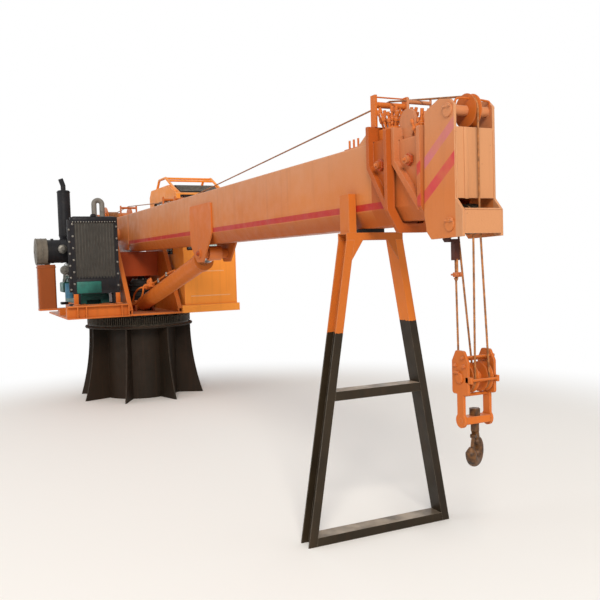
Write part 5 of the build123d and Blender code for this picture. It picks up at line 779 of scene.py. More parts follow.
class CRANE_OT_boom(bpy.types.Operator):
    """Boom: root doublers with their welds, stop studs, valve blocks with their fittings, and lock nuts"""

    bl_idname = "crane.boom"
    bl_label = "Boom fittings"

    def execute(self, context):
        shape = bmesh.new()
        for side in SIDES:
            face = side * BOOM_SIDE
            bottom, top = BOOM_BOTTOM + 0.02, BOOM_TOP - 0.02
            bar(shape, (-0.26, face, bottom), (0.115, face + side * 0.004, top), 0.001)
            weld(shape, (0.117, face, bottom), (0.117, face, top), 0.004)
        bar(shape, (5.300, -0.078, BOOM_TOP - 0.002), (5.434, -0.026, BOOM_TOP + 0.013))
        for x in (5.318, 5.366, 5.414):
            rod(shape, (x, -0.052, BOOM_TOP), (x, -0.052, BOOM_TOP + 0.063), 0.006, 10)
        piece("boom_doublers", shape, "boom", "enamel_orange")

        shape = bmesh.new()
        for side in SIDES:
            lane, top = side * 0.060, BOOM_TOP + 0.060
            bar(shape, (5.684, lane - 0.026, BOOM_TOP - 0.002), (5.826, lane + 0.026, top), 0.003)
            fittings(shape, Vector((5.755, lane, top)), (0.060, 0.020), 17, 0.110)
            bolt(shape, (BASE_SCREW, side * 0.149, SCREW_HEIGHT), Y * side, 0.011)
        piece("boom_valve_fittings", shape, "boom", "enamel_orange")

        shape = bmesh.new()
        for side in SIDES:
            inner = Vector((BASE_SCREW, side * 0.118, SCREW_HEIGHT))
            rod(shape, inner, inner + Y * side * 0.014, 0.031, 6)
            bolt(shape, LUG + Y * side * 0.139, Y * side, 0.022)
        piece("boom_lock_nuts", shape, "boom", "enamel_turret")

        shape = bmesh.new()
        for side in SIDES:
            inner = Vector((MIDDLE_SCREW, side * 0.098, SCREW_HEIGHT))
            rod(shape, inner, inner + Y * side * 0.014, 0.031, 6)
        piece("middle_section_lock_nuts", shape, "mid_section", "enamel_turret")

        shape = bmesh.new()
        for side in SIDES:
            bolt(shape, (MIDDLE_SCREW, side * 0.129, SCREW_HEIGHT), Y * side, 0.011)
            fittings(shape, Vector((6.030, side * 0.072, BOOM_TOP - 0.020)), (0.030, 0.012), 7, 0.125)
        piece("middle_section_fittings", shape, "mid_section", "enamel_orange")
        return {"FINISHED"}


class CRANE_OT_head(bpy.types.Operator):
    """Boom head: pin bosses with their keepers, guard hoop over the sheave, seam strip and welds"""

    bl_idname = "crane.head"
    bl_label = "Boom head"

    def execute(self, context):
        shape = bmesh.new()
        for side in SIDES:
            for pin in (HEAD_SHEAVE, LOWER_PIN):
                boss(shape, pin + Y * side * HEAD_SIDE, Y * side, 0.032, 0.005, 0.007, 0.030)
        bar(shape, (HEAD_FACE - 0.001, -0.062, 1.800), (HEAD_FACE + 0.004, -0.042, 2.117), 0.001)
        weld(shape, (6.398, -0.100, 1.752), (6.398, 0.100, 1.752), 0.005)
        for y in (-0.104, 0.104):
            weld(shape, (HEAD_FACE + 0.001, y, 1.76), (HEAD_FACE + 0.001, y, 2.10), 0.004)
        piece("head_bosses", shape, "tip_section", "enamel_head")

        arch = ((-0.095, 2.150), (-0.095, 2.230), (-0.075, 2.250),
                (0.090, 2.243), (0.105, 2.236), (0.105, 2.150))
        pipe("head_guard_hoop", [(6.330, y, z) for y, z in arch], 0.005, "tip_section", "enamel_orange")

        shape = bmesh.new()
        for side in SIDES:
            for pin in (HEAD_SHEAVE, LOWER_PIN):
                keeper = pin + Vector((0, side * (HEAD_SIDE + 0.006), 0.016))
                half = Vector((0.030, 0, 0.006))
                bar(shape, keeper - half, keeper + half + Y * side * 0.004, 0.001)
                ends = [keeper + Vector((x, side * 0.003, 0)) for x in (-0.021, 0.021)]
                bolts(shape, ends, Y * side, 0.007)
        piece("head_pin_keepers", shape, "tip_section", "enamel_head")
        return {"FINISHED"}


class CRANE_OT_hook(bpy.types.Operator):
    """Hook gear: rope guard, ties and pin keepers of the block, and the grip on the dead end"""

    bl_idname = "crane.hook"
    bl_label = "Hook gear"

    def execute(self, context):
        shape = bmesh.new()
        for side in SIDES:
            cheek = side * 0.074
            bar(shape, (6.352, cheek - 0.006, 0.975), (6.396, cheek + 0.006, 1.005), 0.003)
        rod(shape, (6.387, -0.076, 0.990), (6.387, 0.076, 0.990), 0.006, 12)
        rod(shape, (6.343, -0.086, 1.090), (6.343, 0.086, 1.090), 0.006, 12)
        piece("block_rope_guard", shape, "hook_block", "enamel_orange")

        shape = bmesh.new()
        for side in SIDES:
            face = side * BLOCK_SIDE
            boss(shape, BLOCK + Y * face, Y * side, 0.024, 0.006, 0.009, 0.020, 24)
            bolts(shape, [(BLOCK.x - 0.032, face, 1.050), (BLOCK.x + 0.032, face, 1.050)], Y * side, 0.010)
            bolt(shape, (6.343, side * 0.086, 1.090), Y * side, 0.008)
        rod(shape, (6.286, -0.090, 1.020), (6.318, -0.090, 1.020), 0.006, 10)
        piece("block_pin_keepers", shape, "hook_block", "enamel_orange")

        shape = bmesh.new()
        grip = Vector((HANG.x - FALL_RADIUS, SOCKET_LANE, 1.462))
        bar(shape, grip + Vector((0.004, -0.021, -0.011)), grip + Vector((0.020, 0.021, 0.011)), 0.003)
        for y in (-0.012, 0.012):
            rod(shape, grip + Vector((-0.011, y, 0)), grip + Vector((0.030, y, 0)), 0.0045, 10)
            rod(shape, grip + Vector((0.019, y, 0)), grip + Vector((0.028, y, 0)), 0.009, 6)
        rod(shape, grip + Vector((-0.011, -0.0165, 0)), grip + Vector((-0.011, 0.0165, 0)), 0.0045, 10)
        piece("dead_end_grip", shape, "rope_hang", "enamel_collar")

        tail = ((0.012, 0, 0.072), (0.012, 0, 0.010), (0.012, 0, -0.016),
                (0.010, -0.006, -0.030), (0.008, -0.012, -0.014))
        pipe("dead_end_tail", [grip + Vector(point) for point in tail], 0.005, "rope_hang", "greased_rope")
        return {"FINISHED"}


def barrel_point(along, out, lift):
    """Point beside the luffing barrel: distance from its foot, sideways and square to the axis."""
    slope = math.atan2(LUG.z - FOOT.z, LUG.x - FOOT.x)
    axis = Vector((math.cos(slope), 0, math.sin(slope)))
    square = Vector((-math.sin(slope), 0, math.cos(slope)))
    return FOOT + axis * along + Y * out + square * lift


class CRANE_OT_luffing(bpy.types.Operator):
    """Luffing cylinder: load-holding valve, its pipes and their clips"""

    bl_idname = "crane.luffing"
    bl_label = "Luffing cylinder"

    # Each pipe's name, radius and route beside the barrel
    PIPES = (
        ("upper", 0.010, ((0.62, -0.125, 0.098), (0.62, -0.150, 0.098), (0.50, -0.150, 0.100),
                          (0.30, -0.130, 0.110), (0.16, -0.126, 0.075), (0.09, -0.126, 0.020))),
        ("lower", 0.010, ((0.76, -0.125, 0.098), (0.76, -0.150, 0.098), (0.72, -0.150, 0.020),
                          (0.45, -0.126, -0.020), (0.20, -0.126, -0.030), (0.10, -0.126, -0.010))),
        ("long", 0.008, ((0.77, -0.060, 0.105), (0.86, -0.055, 0.105), (0.95, -0.052, 0.100),
                         (1.50, -0.052, 0.092), (1.62, -0.040, 0.080))),
    )

    def execute(self, context):
        axis = (barrel_point(1, 0, 0) - FOOT).normalized()
        square = (barrel_point(0, 0, 1) - FOOT).normalized()
        shape = bmesh.new()
        outline = ((0.60, 0.075), (0.78, 0.075), (0.78, 0.128), (0.60, 0.128))
        plate(shape, [barrel_point(along, -0.030, lift) for along, lift in outline], Y * -0.065, 0.004)
        for along in (0.63, 0.69, 0.75):
            rod(shape, barrel_point(along, -0.062, 0.12), barrel_point(along, -0.062, 0.165), 0.017, 6)
            rod(shape, barrel_point(along, -0.062, 0.165), barrel_point(along, -0.062, 0.180), 0.010, 12)
        for along in (0.62, 0.76):
            rod(shape, barrel_point(along, -0.090, 0.098), barrel_point(along, -0.130, 0.098), 0.015, 6)
        piece("luffing_valve", shape, "cylinder_barrel", "enamel_orange")

        for name, radius, route in self.PIPES:
            points = [barrel_point(*point) for point in route]
            pipe(f"luffing_pipe_{name}", points, radius, "cylinder_barrel", "enamel_orange")

        shape = bmesh.new()
        for along in (1.05, 1.38):
            foot = barrel_point(along, -0.052, 0.066)
            first, second = foot - axis * 0.012, foot + axis * 0.012
            plate(shape, [first, second, second + square * 0.045, first + square * 0.045], Y * -0.018, 0.002)
        piece("luffing_pipe_clips", shape, "cylinder_barrel", "zinc_steel")
        return {"FINISHED"}


class CRANE_OT_slewing(bpy.types.Operator):
    """Slewing gear: rolled rim of the pedestal, ribs of the swivel, and the bolts of swivel and drive"""

    bl_idname = "crane.slewing"
    bl_label = "Slewing gear"

    def execute(self, context):
        pedestal_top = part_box("pedestal")[1][2]
        drive_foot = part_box("slew_drive")[0][2]
        shape = bmesh.new()
        hoop(shape, (0, 0, pedestal_top - 0.012), Z, 0.620, 0.013, 96)
        piece("pedestal_rim", shape, "stand", "enamel_black")

        shape = bmesh.new()
        middle = Vector((-0.165, 0.083, 0))
        for step in range(5):
            hoop(shape, middle + Z * (1.050 + 0.062 * step), Z, 0.137, 0.014)
        piece("swivel_ribs", shape, "platform", "moulded_rubber")

        shape = bmesh.new()
        bolt_circle(shape, middle + Z * 1.370, Z, 0.105, 8, 0.012)
        bolt_circle(shape, (-0.66, 0, drive_foot + 0.020), Z, 0.0915, 8, 0.006)
        piece("slewing_bolts", shape, "platform", "zinc_steel")
        return {"FINISHED"}


class CRANE_OT_engine(bpy.types.Operator):
    """Engine: covers, bolts, manifold, turbocharger, pipes, starter, pulley, mounts and belt"""

    bl_idname = "crane.engine"
    bl_label = "Engine"

    FLANK_COVERS = (-0.50, -0.24, 0.02)
    HEAD_COVERS = (-0.40, -0.15, 0.10)
    COVER_LENGTH = 0.22
    HEAD_TOP = 1.765
    TURBINE = Vector((0.135, -0.835, 1.742))
    CYLINDERS = 4
    CYLINDER_PITCH = 0.19
    BELT_LINE = (
        (0.392, -0.832, 1.564), (0.392, -0.700, 1.500), (0.436, -0.640, 1.410), (0.436, -0.560, 1.400),
        (0.436, -0.512, 1.330), (0.436, -0.560, 1.255), (0.436, -0.640, 1.255), (0.436, -0.720, 1.330),
        (0.392, -0.885, 1.480), (0.392, -0.888, 1.530), (0.392, -0.832, 1.564),
    )

    def execute(self, context):
        shape = bmesh.new()
        flywheel = [(0, 0), (0, 0.19), (0.035, 0.19), (0.05, 0.16), (0.05, 0)]
        turned(shape, flywheel, (-0.549, ENGINE_Y, 1.36), -X)
        bar(shape, (ENGINE_FRONT - 0.022, -0.74, 1.22), (ENGINE_FRONT, -0.46, 1.54), 0.008)
        for start in self.FLANK_COVERS:
            end = start + self.COVER_LENGTH
            bar(shape, (start, ENGINE_FLANK - 0.010, 1.42), (end, ENGINE_FLANK + 0.002, 1.54), 0.006)
        for start in self.HEAD_COVERS:
            end = start + self.COVER_LENGTH
            low, high = (ENGINE_Y - 0.072, self.HEAD_TOP - 0.017), (ENGINE_Y + 0.072, self.HEAD_TOP)
            bar(shape, (start, *low), (end, *high), 0.008)
        piece("engine_covers", shape, "platform", "engine_enamel")

        shape = bmesh.new()
        for start in self.FLANK_COVERS:
            for x in (start + 0.02, start + 0.20):
                bolts(shape, [(x, ENGINE_FLANK - 0.010, z) for z in (1.44, 1.52)], -Y, 0.009)
        for start in self.HEAD_COVERS:
            bolt(shape, (start + self.COVER_LENGTH / 2, ENGINE_Y, self.HEAD_TOP), Z, 0.012)
        for step in range(5):
            bolts(shape, [(ENGINE_FRONT, y, 1.25 + 0.065 * step) for y in (-0.725, -0.475)], X, 0.009)
        for step in range(7):
            bolt(shape, (-0.40 + 0.12 * step, -0.735, 1.68), Z, 0.010)
        piece("engine_bolts", shape, "platform", "zinc_steel")

        shape = bmesh.new()
        for step in range(self.CYLINDERS):
            x = -0.34 + self.CYLINDER_PITCH * step
            rod(shape, (x, -0.750, 1.625), (x, -0.800, 1.640), 0.022, 14)
        rod(shape, (-0.40, -0.812, 1.645), (0.28, -0.812, 1.645), 0.032, 20, bevel=0.008)
        piece("exhaust_manifold", shape, "platform", "burnt_iron")

        shape = bmesh.new()
        turbine = self.TURBINE
        hoop(shape, turbine, X, 0.046, 0.021, 32)
        rod(shape, turbine - X * 0.030, turbine + X * 0.030, 0.040, 24, bevel=0.006)
        outlet = turbine - Y * 0.046
        rod(shape, outlet, outlet - Z * 0.052, 0.018, 16)
        hoop(shape, (0.0, -0.822, 1.735), X, 0.040, 0.020, 32)
        bolt_circle(shape, turbine + X * 0.037, X, 0.034, 6, 0.007)
        bellows = Vector((0.385, -0.915, 1.748))
        profile = [(-0.030, 0), (-0.030, 0.034), (-0.022, 0.048), (0.022, 0.048),
                   (0.030, 0.034), (0.030, 0.016), (0.052, 0.016), (0.052, 0)]
        turned(shape, profile, bellows, X)
        rod(shape, turbine + Vector((0.030, -0.015, 0)), bellows - X * 0.015, 0.026, 20)
        profile = [(0, 0), (0, 0.044), (0.010, 0.050), (0.022, 0.050),
                   (0.032, 0.040), (0.032, 0.014), (0.050, 0.014), (0.050, 0)]
        turned(shape, profile, (0.400, -0.905, 1.515), X)
        bar(shape, (0.395, -0.905, 1.500), (0.415, -0.850, 1.530), 0.004)
        piece("turbocharger", shape, "platform", "cast_aluminium")

        for step in range(self.CYLINDERS):
            x = -0.35 + 0.06 * step
            top = -0.33 + self.CYLINDER_PITCH * step
            points = [(x, -0.812, 1.370), (x, -0.812, 1.420), (x, -0.800, 1.560),
                      (top, -0.790, 1.590), (top, -0.750, 1.600)]
            pipe(f"injector_pipe_{step}", points, 0.004, "platform", "zinc_steel")

        shape = bmesh.new()
        rod(shape, (-0.45, -0.375, 1.27), (-0.22, -0.375, 1.27), 0.055, 24, bevel=0.008)
        rod(shape, (-0.42, -0.375, 1.355), (-0.28, -0.375, 1.355), 0.026, 18, bevel=0.005)
        pulley = [(0, 0), (0, 0.085), (0.008, 0.085), (0.016, 0.070),
                  (0.024, 0.085), (0.032, 0.085), (0.032, 0)]
        turned(shape, pulley, (ENGINE_FRONT, ENGINE_Y, 1.330), X)
        for start in (-0.42, 0.24):
            for y in (ENGINE_Y - 0.205, ENGINE_Y + 0.205):
                bar(shape, (start, y - 0.045, 1.100), (start + 0.10, y + 0.045, 1.130), 0.004)
        piece("starter_and_pulley", shape, "platform", "stove_black")

        fuel_line = [(0.08, -0.815, 1.375), (0.08, -0.815, 1.410), (0.0, -0.822, 1.420),
                     (-0.10, -0.822, 1.400), (-0.16, -0.822, 1.368)]
        pipe("fuel_line", fuel_line, 0.006, "platform", "moulded_rubber")
        pipe("drive_belt", self.BELT_LINE, 0.005, "platform", "moulded_rubber")
        return {"FINISHED"}


class CRANE_OT_radiator(bpy.types.Operator):
    """Radiator: tubes, tanks with the serrated fin ends, fan ring, bolts, sump, feet and hoses"""

    bl_idname = "crane.radiator"
    bl_label = "Radiator"

    TUBES = 13
    TANK_BOLTS = 17
    NEAR_EDGE = -0.842
    FAR_EDGE = -0.358

    def execute(self, context):
        core_low, core_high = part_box("radiator_core")
        face = core_high[0]
        shape = bmesh.new()
        pitch = (core_high[1] - core_low[1] - 0.030) / (self.TUBES - 1)
        lanes = [core_low[1] + 0.015 + index * pitch for index in range(self.TUBES)]
        for y in lanes:
            bar(shape, (face - 0.002, y - 0.0065, 1.425), (face + 0.006, y + 0.0065, 2.016), 0.002)
        piece("radiator_tubes", shape, "platform", "radiator_tube")

        shape = bmesh.new()
        bar(shape, (0.520, self.NEAR_EDGE, 2.020), (0.604, self.FAR_EDGE, 2.096), 0.024)
        bar(shape, (0.545, self.NEAR_EDGE, 1.250), (0.598, self.FAR_EDGE, 1.418), 0.006)
        for y in lanes:
            outline = [(0.597, y - 0.014, 1.414), (0.597, y + 0.014, 1.414), (0.597, y, 1.442)]
            plate(shape, outline, X * 0.006, 0.0005)
        bar(shape, (0.560, -0.888, 1.270), (0.599, -0.850, 2.060), 0.003)
        hoop(shape, (0.520, ENGINE_Y, 1.610), X, 0.212, 0.010, 48)
        cap = [(-0.004, 0), (-0.004, 0.031), (0.012, 0.031), (0.016, 0.022), (0.022, 0.022), (0.022, 0)]
        turned(shape, cap, (0.5625, ENGINE_Y, 2.100), Z, 24)
        piece("radiator_tanks", shape, "platform", "stove_black")

        shape = bmesh.new()
        for index in range(self.TANK_BOLTS):
            bolt(shape, (0.603, -0.828 + 0.0285 * index, 2.034), X, 0.0075)
        for z in (1.300, 1.430, 1.560, 1.690, 1.820, 1.950):
            bolts(shape, [(0.599, -0.872, z), (0.600, -0.834, z + 0.06), (0.600, -0.361, z + 0.03)], X, 0.011)
        piece("radiator_bolts", shape, "platform", "zinc_steel")

        shape = bmesh.new()
        bar(shape, (0.590, -0.815, 1.252), (0.606, -0.548, 1.385), 0.012)
        piece("radiator_sump", shape, "platform", "engine_enamel")

        shape = bmesh.new()
        for y in (-0.852, -0.398):
            bar(shape, (0.602, y, 1.128), (0.612, y + 0.050, 1.250), 0.002)
            bar(shape, (0.602, y - 0.006, 1.128), (0.690, y + 0.056, 1.140), 0.002)
        piece("radiator_feet", shape, "platform", "enamel_orange")

        upper = [(0.530, -0.50, 2.050), (0.470, -0.50, 2.050), (0.430, -0.52, 2.000),
                 (0.400, -0.56, 1.850), (0.340, -0.60, 1.790), (0.250, -0.60, 1.770)]
        lower = [(0.550, -0.45, 1.300), (0.480, -0.45, 1.300), (0.440, -0.42, 1.320),
                 (0.380, -0.41, 1.340), (0.330, -0.425, 1.360)]
        pipe("radiator_hose_top", upper, 0.024, "platform", "moulded_rubber")
        pipe("radiator_hose_bottom", lower, 0.024, "platform", "moulded_rubber")
        return {"FINISHED"}


class CRANE_OT_breathing(bpy.types.Operator):
    """Air cleaner, exhaust and fuel tank: cap ribs, straps, pipe rings, tank lip and filler"""

    bl_idname = "crane.breathing"
    bl_label = "Air, exhaust and fuel"

    def execute(self, context):
        shape = bmesh.new()
        for y in (-1.172, -1.118, -1.066):
            hoop(shape, CLEANER + Y * y, Y, 0.1440, 0.005, 48)
        dome = [(-0.001, 0), (-0.001, 0.120), (0.006, 0.105), (0.010, 0.060),
                (0.010, 0.020), (0.016, 0.018), (0.016, 0)]
        turned(shape, dome, CLEANER - Y * 1.180, -Y, 40)
        piece("cleaner_cap_ribs", shape, "platform", "galvanised_sheet")

        shape = bmesh.new()
        strap = [(-0.012, 0.1295), (-0.012, 0.133), (0.012, 0.133), (0.012, 0.1295)]
        for y in (-1.00, -0.90):
            turned(shape, strap, CLEANER + Y * y, Y, 48)
            bar(shape, (0.19, y - 0.014, 1.855), (0.23, y + 0.014, 1.870), 0.003)
        for z in (1.92, 2.415):
            hoop(shape, (-0.05, -0.812, z), Z, 0.072, 0.005)
        piece("cleaner_straps", shape, "platform", "stove_black")

        shape = bmesh.new()
        low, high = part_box("fuel_tank")
        bar(shape, (low[0] - 0.004, low[1] - 0.004, 1.545), (high[0] + 0.004, high[1] + 0.004, 1.560), 0.003)
        piece("tank_lip", shape, "platform", "enamel_tank")

        shape = bmesh.new()
        filler = [(-0.002, 0), (-0.002, 0.030), (0.012, 0.030), (0.014, 0.040),
                  (0.030, 0.040), (0.034, 0.034), (0.034, 0)]
        turned(shape, filler, (0.200, -1.06, high[2]), Z, 24)
        piece("tank_filler", shape, "platform", "cast_aluminium")
        return {"FINISHED"}


class CRANE_OT_winch(bpy.types.Operator):
    """Winch: gearcase bolts, bearing cap, motor ports, and the keepers of the boom's pivot pin"""

    bl_idname = "crane.winch"
    bl_label = "Winch"

    def execute(self, context):
        bearing = WINCH + Y * 0.182
        shape = bmesh.new()
        bolt_circle(shape, WINCH - Y * 0.262, -Y, 0.078, 10, 0.010)
        bolt_circle(shape, bearing, Y, 0.045, 6, 0.010)
        piece("winch_bolts", shape, "boom", "zinc_steel")

        shape = bmesh.new()
        cap = [(-0.002, 0), (-0.002, 0.060), (0.010, 0.060), (0.014, 0.030), (0.014, 0)]
        turned(shape, cap, bearing, Y)
        for x in (-0.02, 0.02):
            port = WINCH + Vector((x, -0.340, 0.055))
            rod(shape, port, port + Z * 0.030, 0.012, 12)
        piece("winch_cap", shape, "boom", "stove_black")

        shape = bmesh.new()
        for side in SIDES:
            boss(shape, PIVOT + Y * side * 0.289, Y * side, 0.054, 0.005, 0.008, 0.048)
            inner, outer = PIVOT + Y * side * 0.296, PIVOT + Y * side * 0.302
            half = Vector((0.05, 0, 0.012))
            bar(shape, inner - half, outer + half, 0.002)
            bolts(shape, [outer - X * 0.036, outer + X * 0.036], Y * side, 0.010)
        piece("pivot_pin_keepers", shape, "platform", "zinc_steel")
        return {"FINISHED"}


class CRANE_OT_cab(bpy.types.Operator):
    """Cab: window rubbers, skylight with its slats, wiper, pressed lines, welds, door glass and handle"""

    bl_idname = "crane.cab"
    bl_label = "Cab"

    def opening(self, first, last, bottom, top):
        """Corners of an opening in its wall, as pairs of a distance along the wall and a height."""
        return ((first, bottom), (last, bottom), (last, top), (first, top))

    def frame(self, shape, corners, thickness):
        """Rubber moulding round an opening: round strips between its corners."""
        for first, second in zip(corners, corners[1:] + corners[:1]):
            rod(shape, first, second, thickness, 10)
            ball(shape, Vector(first), thickness, 10)

    def execute(self, context):
        door_low, door_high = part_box("cab_door")
        near_y, far_y = 0.343, door_high[1] + 0.001
        sill, eaves = 1.675, 2.36
        front_sill, front_eaves = 0.770, 0.577
        rake = (front_eaves - front_sill) / (eaves - sill)
        front = [Vector((front_sill + rake * (z - sill) + 0.003, y, z))
                 for y, z in self.opening(0.40, 0.92, 1.708, 2.338)]
        near = [Vector((x, near_y, z)) for x, z in self.opening(-0.35, 0.35, sill, 2.305)]
        rear = [Vector((-0.602, y, z)) for y, z in self.opening(0.40, 0.92, sill, 2.305)]
        slope = Vector((0.317, 0, -0.125)).normalized()
        up = Vector((0.125, 0, 0.317)).normalized()
        sky_corner = Vector((0.290, 0, 2.475)) + up * 0.001
        sky = [sky_corner + Y * y + slope * s for s, y in ((0, 0.42), (0, 0.90), (0.26, 0.90), (0.26, 0.42))]
        shape = bmesh.new()
        for corners in (front, near, rear, sky):
            self.frame(shape, corners, 0.008)
        piece("cab_window_rubbers", shape, "platform", "moulded_rubber")

        shape = bmesh.new()
        plate(shape, [c + up * 0.001 for c in sky], up * 0.004, 0.0005)
        piece("cab_skylight", shape, "platform", "cast_aluminium")

        shape = bmesh.new()
        for step in range(5):
            at = sky_corner + slope * (0.035 + 0.048 * step) + up * 0.005
            first, second = at + Y * 0.43, at + Y * 0.89
            plate(shape, [first, second, second + slope * 0.016, first + slope * 0.016], up * 0.006, 0.001)
        piece("cab_skylight_slats", shape, "platform", "galvanised_sheet")

        shape = bmesh.new()
        spindle = Vector((front_sill + rake * 0.05 + 0.014, 0.66, 1.725))
        tip = Vector((front_sill + rake * 0.52 + 0.014, 0.52, 2.195))
        rod(shape, spindle, tip, 0.005, 10)
        rod(shape, tip - Vector((0.006, -0.06, 0.20)) * 0.9, tip + Vector((0.0, 0.01, 0.02)), 0.006, 10)
        rod(shape, spindle - X * 0.016, spindle + X * 0.008, 0.012, 14)
        piece("cab_wiper", shape, "platform", "stove_black")

        # The pressed lines take the pale enamel: a painted highlight
        shape = bmesh.new()
        rod(shape, (0.770, 0.600, 1.456), (0.770, 0.820, 1.456), 0.006, 12)
        rod(shape, (0.770, 0.420, 1.175), (0.770, 0.890, 1.175), 0.006, 12)
        piece("cab_pressed_lines", shape, "platform", "enamel_pale")

        shape = bmesh.new()
        for y in (0.348, 0.972):
            weld(shape, (0.771, y, 1.085), (0.771, y, 1.66), 0.003)
        piece("cab_corner_welds", shape, "platform", "enamel_cab")

        shape = bmesh.new()
        pane = self.opening(-0.240, 0.240, 1.672, 2.235)
        self.frame(shape, [Vector((x, far_y, z)) for x, z in pane], 0.007)
        piece("door_rubber", shape, "door", "moulded_rubber")

        shape = bmesh.new()
        middle = (door_low[1] + door_high[1]) / 2
        plate(shape, [(x, middle - 0.002, z) for x, z in pane], Y * 0.004, 0.0005)
        piece("door_glass", shape, "door", "window_glass")

        shape = bmesh.new()
        rod(shape, (-0.285, far_y - 0.002, 1.52), (-0.285, far_y + 0.030, 1.52), 0.010, 12)
        rod(shape, (-0.285, far_y + 0.030, 1.53), (-0.285, far_y + 0.030, 1.41), 0.009, 12, bevel=0.002)
        piece("door_handle", shape, "door", "stove_black")
        return {"FINISHED"}


class CRANE_OT_seat(bpy.types.Operator):
    """Seat: two foam cushions on their pan, column and bracket, with the console's dials and lever gaiters"""

    bl_idname = "crane.seat"
    bl_label = "Seat and console"

    FOAM_FRAMES = 20
    VOXEL = 0.006
    PRESSURE = 4.0
    SWELL = 0.014
    CHANNEL_DEPTH = 0.006
    CHANNEL_WIDTH = 0.008

    def blow_up(self, made, cap, flat):
        """Fills a block with foam: cloth under pressure, held to a cap, and flat where it rests."""
        scene = bpy.context.scene
        voxels = made.modifiers.new("voxels", "REMESH")
        voxels.mode = "VOXEL"
        voxels.voxel_size = self.VOXEL
        graph = bpy.context.evaluated_depsgraph_get()
        made.data = bpy.data.meshes.new_from_object(made.evaluated_get(graph))
        made.modifiers.clear()
        rest = [vert.co.copy() for vert in made.data.vertices]
        foam = made.modifiers.new("foam", "CLOTH")
        foam.settings.use_pressure = True
        foam.settings.uniform_pressure_force = self.PRESSURE
        foam.settings.effector_weights.gravity = 0.0
        for frame in range(scene.frame_start, self.FOAM_FRAMES + 1):
            scene.frame_set(frame)
        graph = bpy.context.evaluated_depsgraph_get()
        moved = [vert.co.copy() for vert in made.evaluated_get(graph).data.vertices]
        made.modifiers.clear()
        scene.frame_set(scene.frame_start)
        axis, level = flat
        for vert, old, new in zip(made.data.vertices, rest, moved):
            push = new - old
            vert.co = old + push * min(1.0, cap / max(push.length, 1e-9))
            vert.co[axis] = max(vert.co[axis], level)
        made.data.shade_smooth()

    def cushion(self, name, low, high, flat, channels):
        """Foam cushion in a block's place, with stitched channels along it."""
        shape = bmesh.new()
        bar(shape, low, high, 0.020)
        made = piece(name, shape, None, "grained_vinyl")
        self.blow_up(made, self.SWELL, flat)
        axis = flat[0]
        deep = max(vert.co[axis] for vert in made.data.vertices) - 0.02
        for vert in made.data.vertices:
            near = min(abs(vert.co.y - y) for y in channels)
            if vert.co[axis] > deep:
                vert.co[axis] -= self.CHANNEL_DEPTH * math.exp(-(near / self.CHANNEL_WIDTH) ** 2)
        made.modifiers.new("smooth", "SUBSURF").levels = 1
        made.modifiers["smooth"].render_levels = 1
        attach(made, "platform")
        return made

    def execute(self, context):
        base = self.cushion(
            "seat_base_cushion", (-0.330, CAB_MIDDLE - 0.208, 1.427), (0.078, CAB_MIDDLE + 0.208, 1.515),
            (2, 1.4255), (CAB_MIDDLE - 0.075, CAB_MIDDLE + 0.075))
        self.cushion(
            "seat_back_cushion", (-0.436, CAB_MIDDLE - 0.186, 1.550), (-0.358, CAB_MIDDLE + 0.186, 1.890),
            (0, -0.4385), (CAB_MIDDLE - 0.065, CAB_MIDDLE + 0.065))
        shape = bmesh.new()
        bar(shape, (-0.27, 0.51, 1.405), (0.03, 0.81, 1.4245), 0.004)
        rod(shape, (-0.12, CAB_MIDDLE, 1.0955), (-0.12, CAB_MIDDLE, 1.406), 0.060, 32, bevel=0.004)
        bar(shape, (-0.451, 0.62, 1.405), (-0.439, 0.70, 1.761), 0.002)
        bar(shape, (-0.451, 0.62, 1.405), (-0.26, 0.70, 1.420), 0.002)
        frame = piece("seat_frame", shape, "platform", "stove_black")
        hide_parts("cab_seat")
        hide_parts("cab_seat")

        shape = bmesh.new()
        low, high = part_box("control_console")
        for y in (0.57, CAB_MIDDLE, 0.75):
            boss(shape, (low[0], y, 1.52), -X, 0.026, 0.004, 0.006, 0.022, 24)
        piece("console_dials", shape, "platform", "moulded_plastic")

        gaiter = [(0, 0.006), (0, 0.036), (0.012, 0.033), (0.018, 0.024),
                  (0.028, 0.022), (0.032, 0.012), (0.032, 0.006)]
        for side, name in zip(SIDES, ("left", "right")):
            shape = bmesh.new()
            turned(shape, gaiter, (0.470, CAB_MIDDLE + side * 0.070, high[2] - 0.001), Z, 24)
            piece(f"lever_gaiter_{name}", shape, "platform", "moulded_rubber")
        return {"FINISHED"}


class CRANE_OT_platform(bpy.types.Operator):
    """Platform: web above the turret's cross beam, and the ribs and flanges of the engine bed's front"""

    bl_idname = "crane.platform"
    bl_label = "Platform"

    def execute(self, context):
        shape = bmesh.new()
        bar(shape, (-0.060, -0.254, 1.684), (-0.020, 0.254, 1.7085), 0.001)
        piece("turret_web", shape, "platform", "enamel_turret")

        shape = bmesh.new()
        low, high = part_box("engine_bed")
        for z in (low[2] + 0.001, high[2] - 0.013):
            bar(shape, (high[0] - 0.002, -0.958, z), (high[0] + 0.050, -0.306, z + 0.012), 0.002)
        for y in (-0.860, -0.770, -0.392, -0.318):
            bottom, top = low[2] + 0.008, high[2] - 0.008
            bar(shape, (high[0] - 0.002, y, bottom), (high[0] + 0.046, y + 0.012, top), 0.002)
        piece("bed_ribs", shape, "platform", "enamel_orange")
        return {"FINISHED"}


class CRANE_OT_rest(bpy.types.Operator):
    """Boom rest: welds between its legs and cross members"""

    bl_idname = "crane.rest"
    bl_label = "Boom rest"

    def execute(self, context):
        shape = bmesh.new()
        for side in SIDES:
            for heights in ((0.004, 0.046), (0.784, 0.828)):
                inside = [REST_FOOT_HALF - REST_TAPER * z - REST_FLANGE for z in heights]
                weld(shape, *[(5.484, side * y, z) for y, z in zip(inside, heights)], 0.004)
        piece("rest_welds", shape, "stand", "enamel_rest_near")
        return {"FINISHED"}


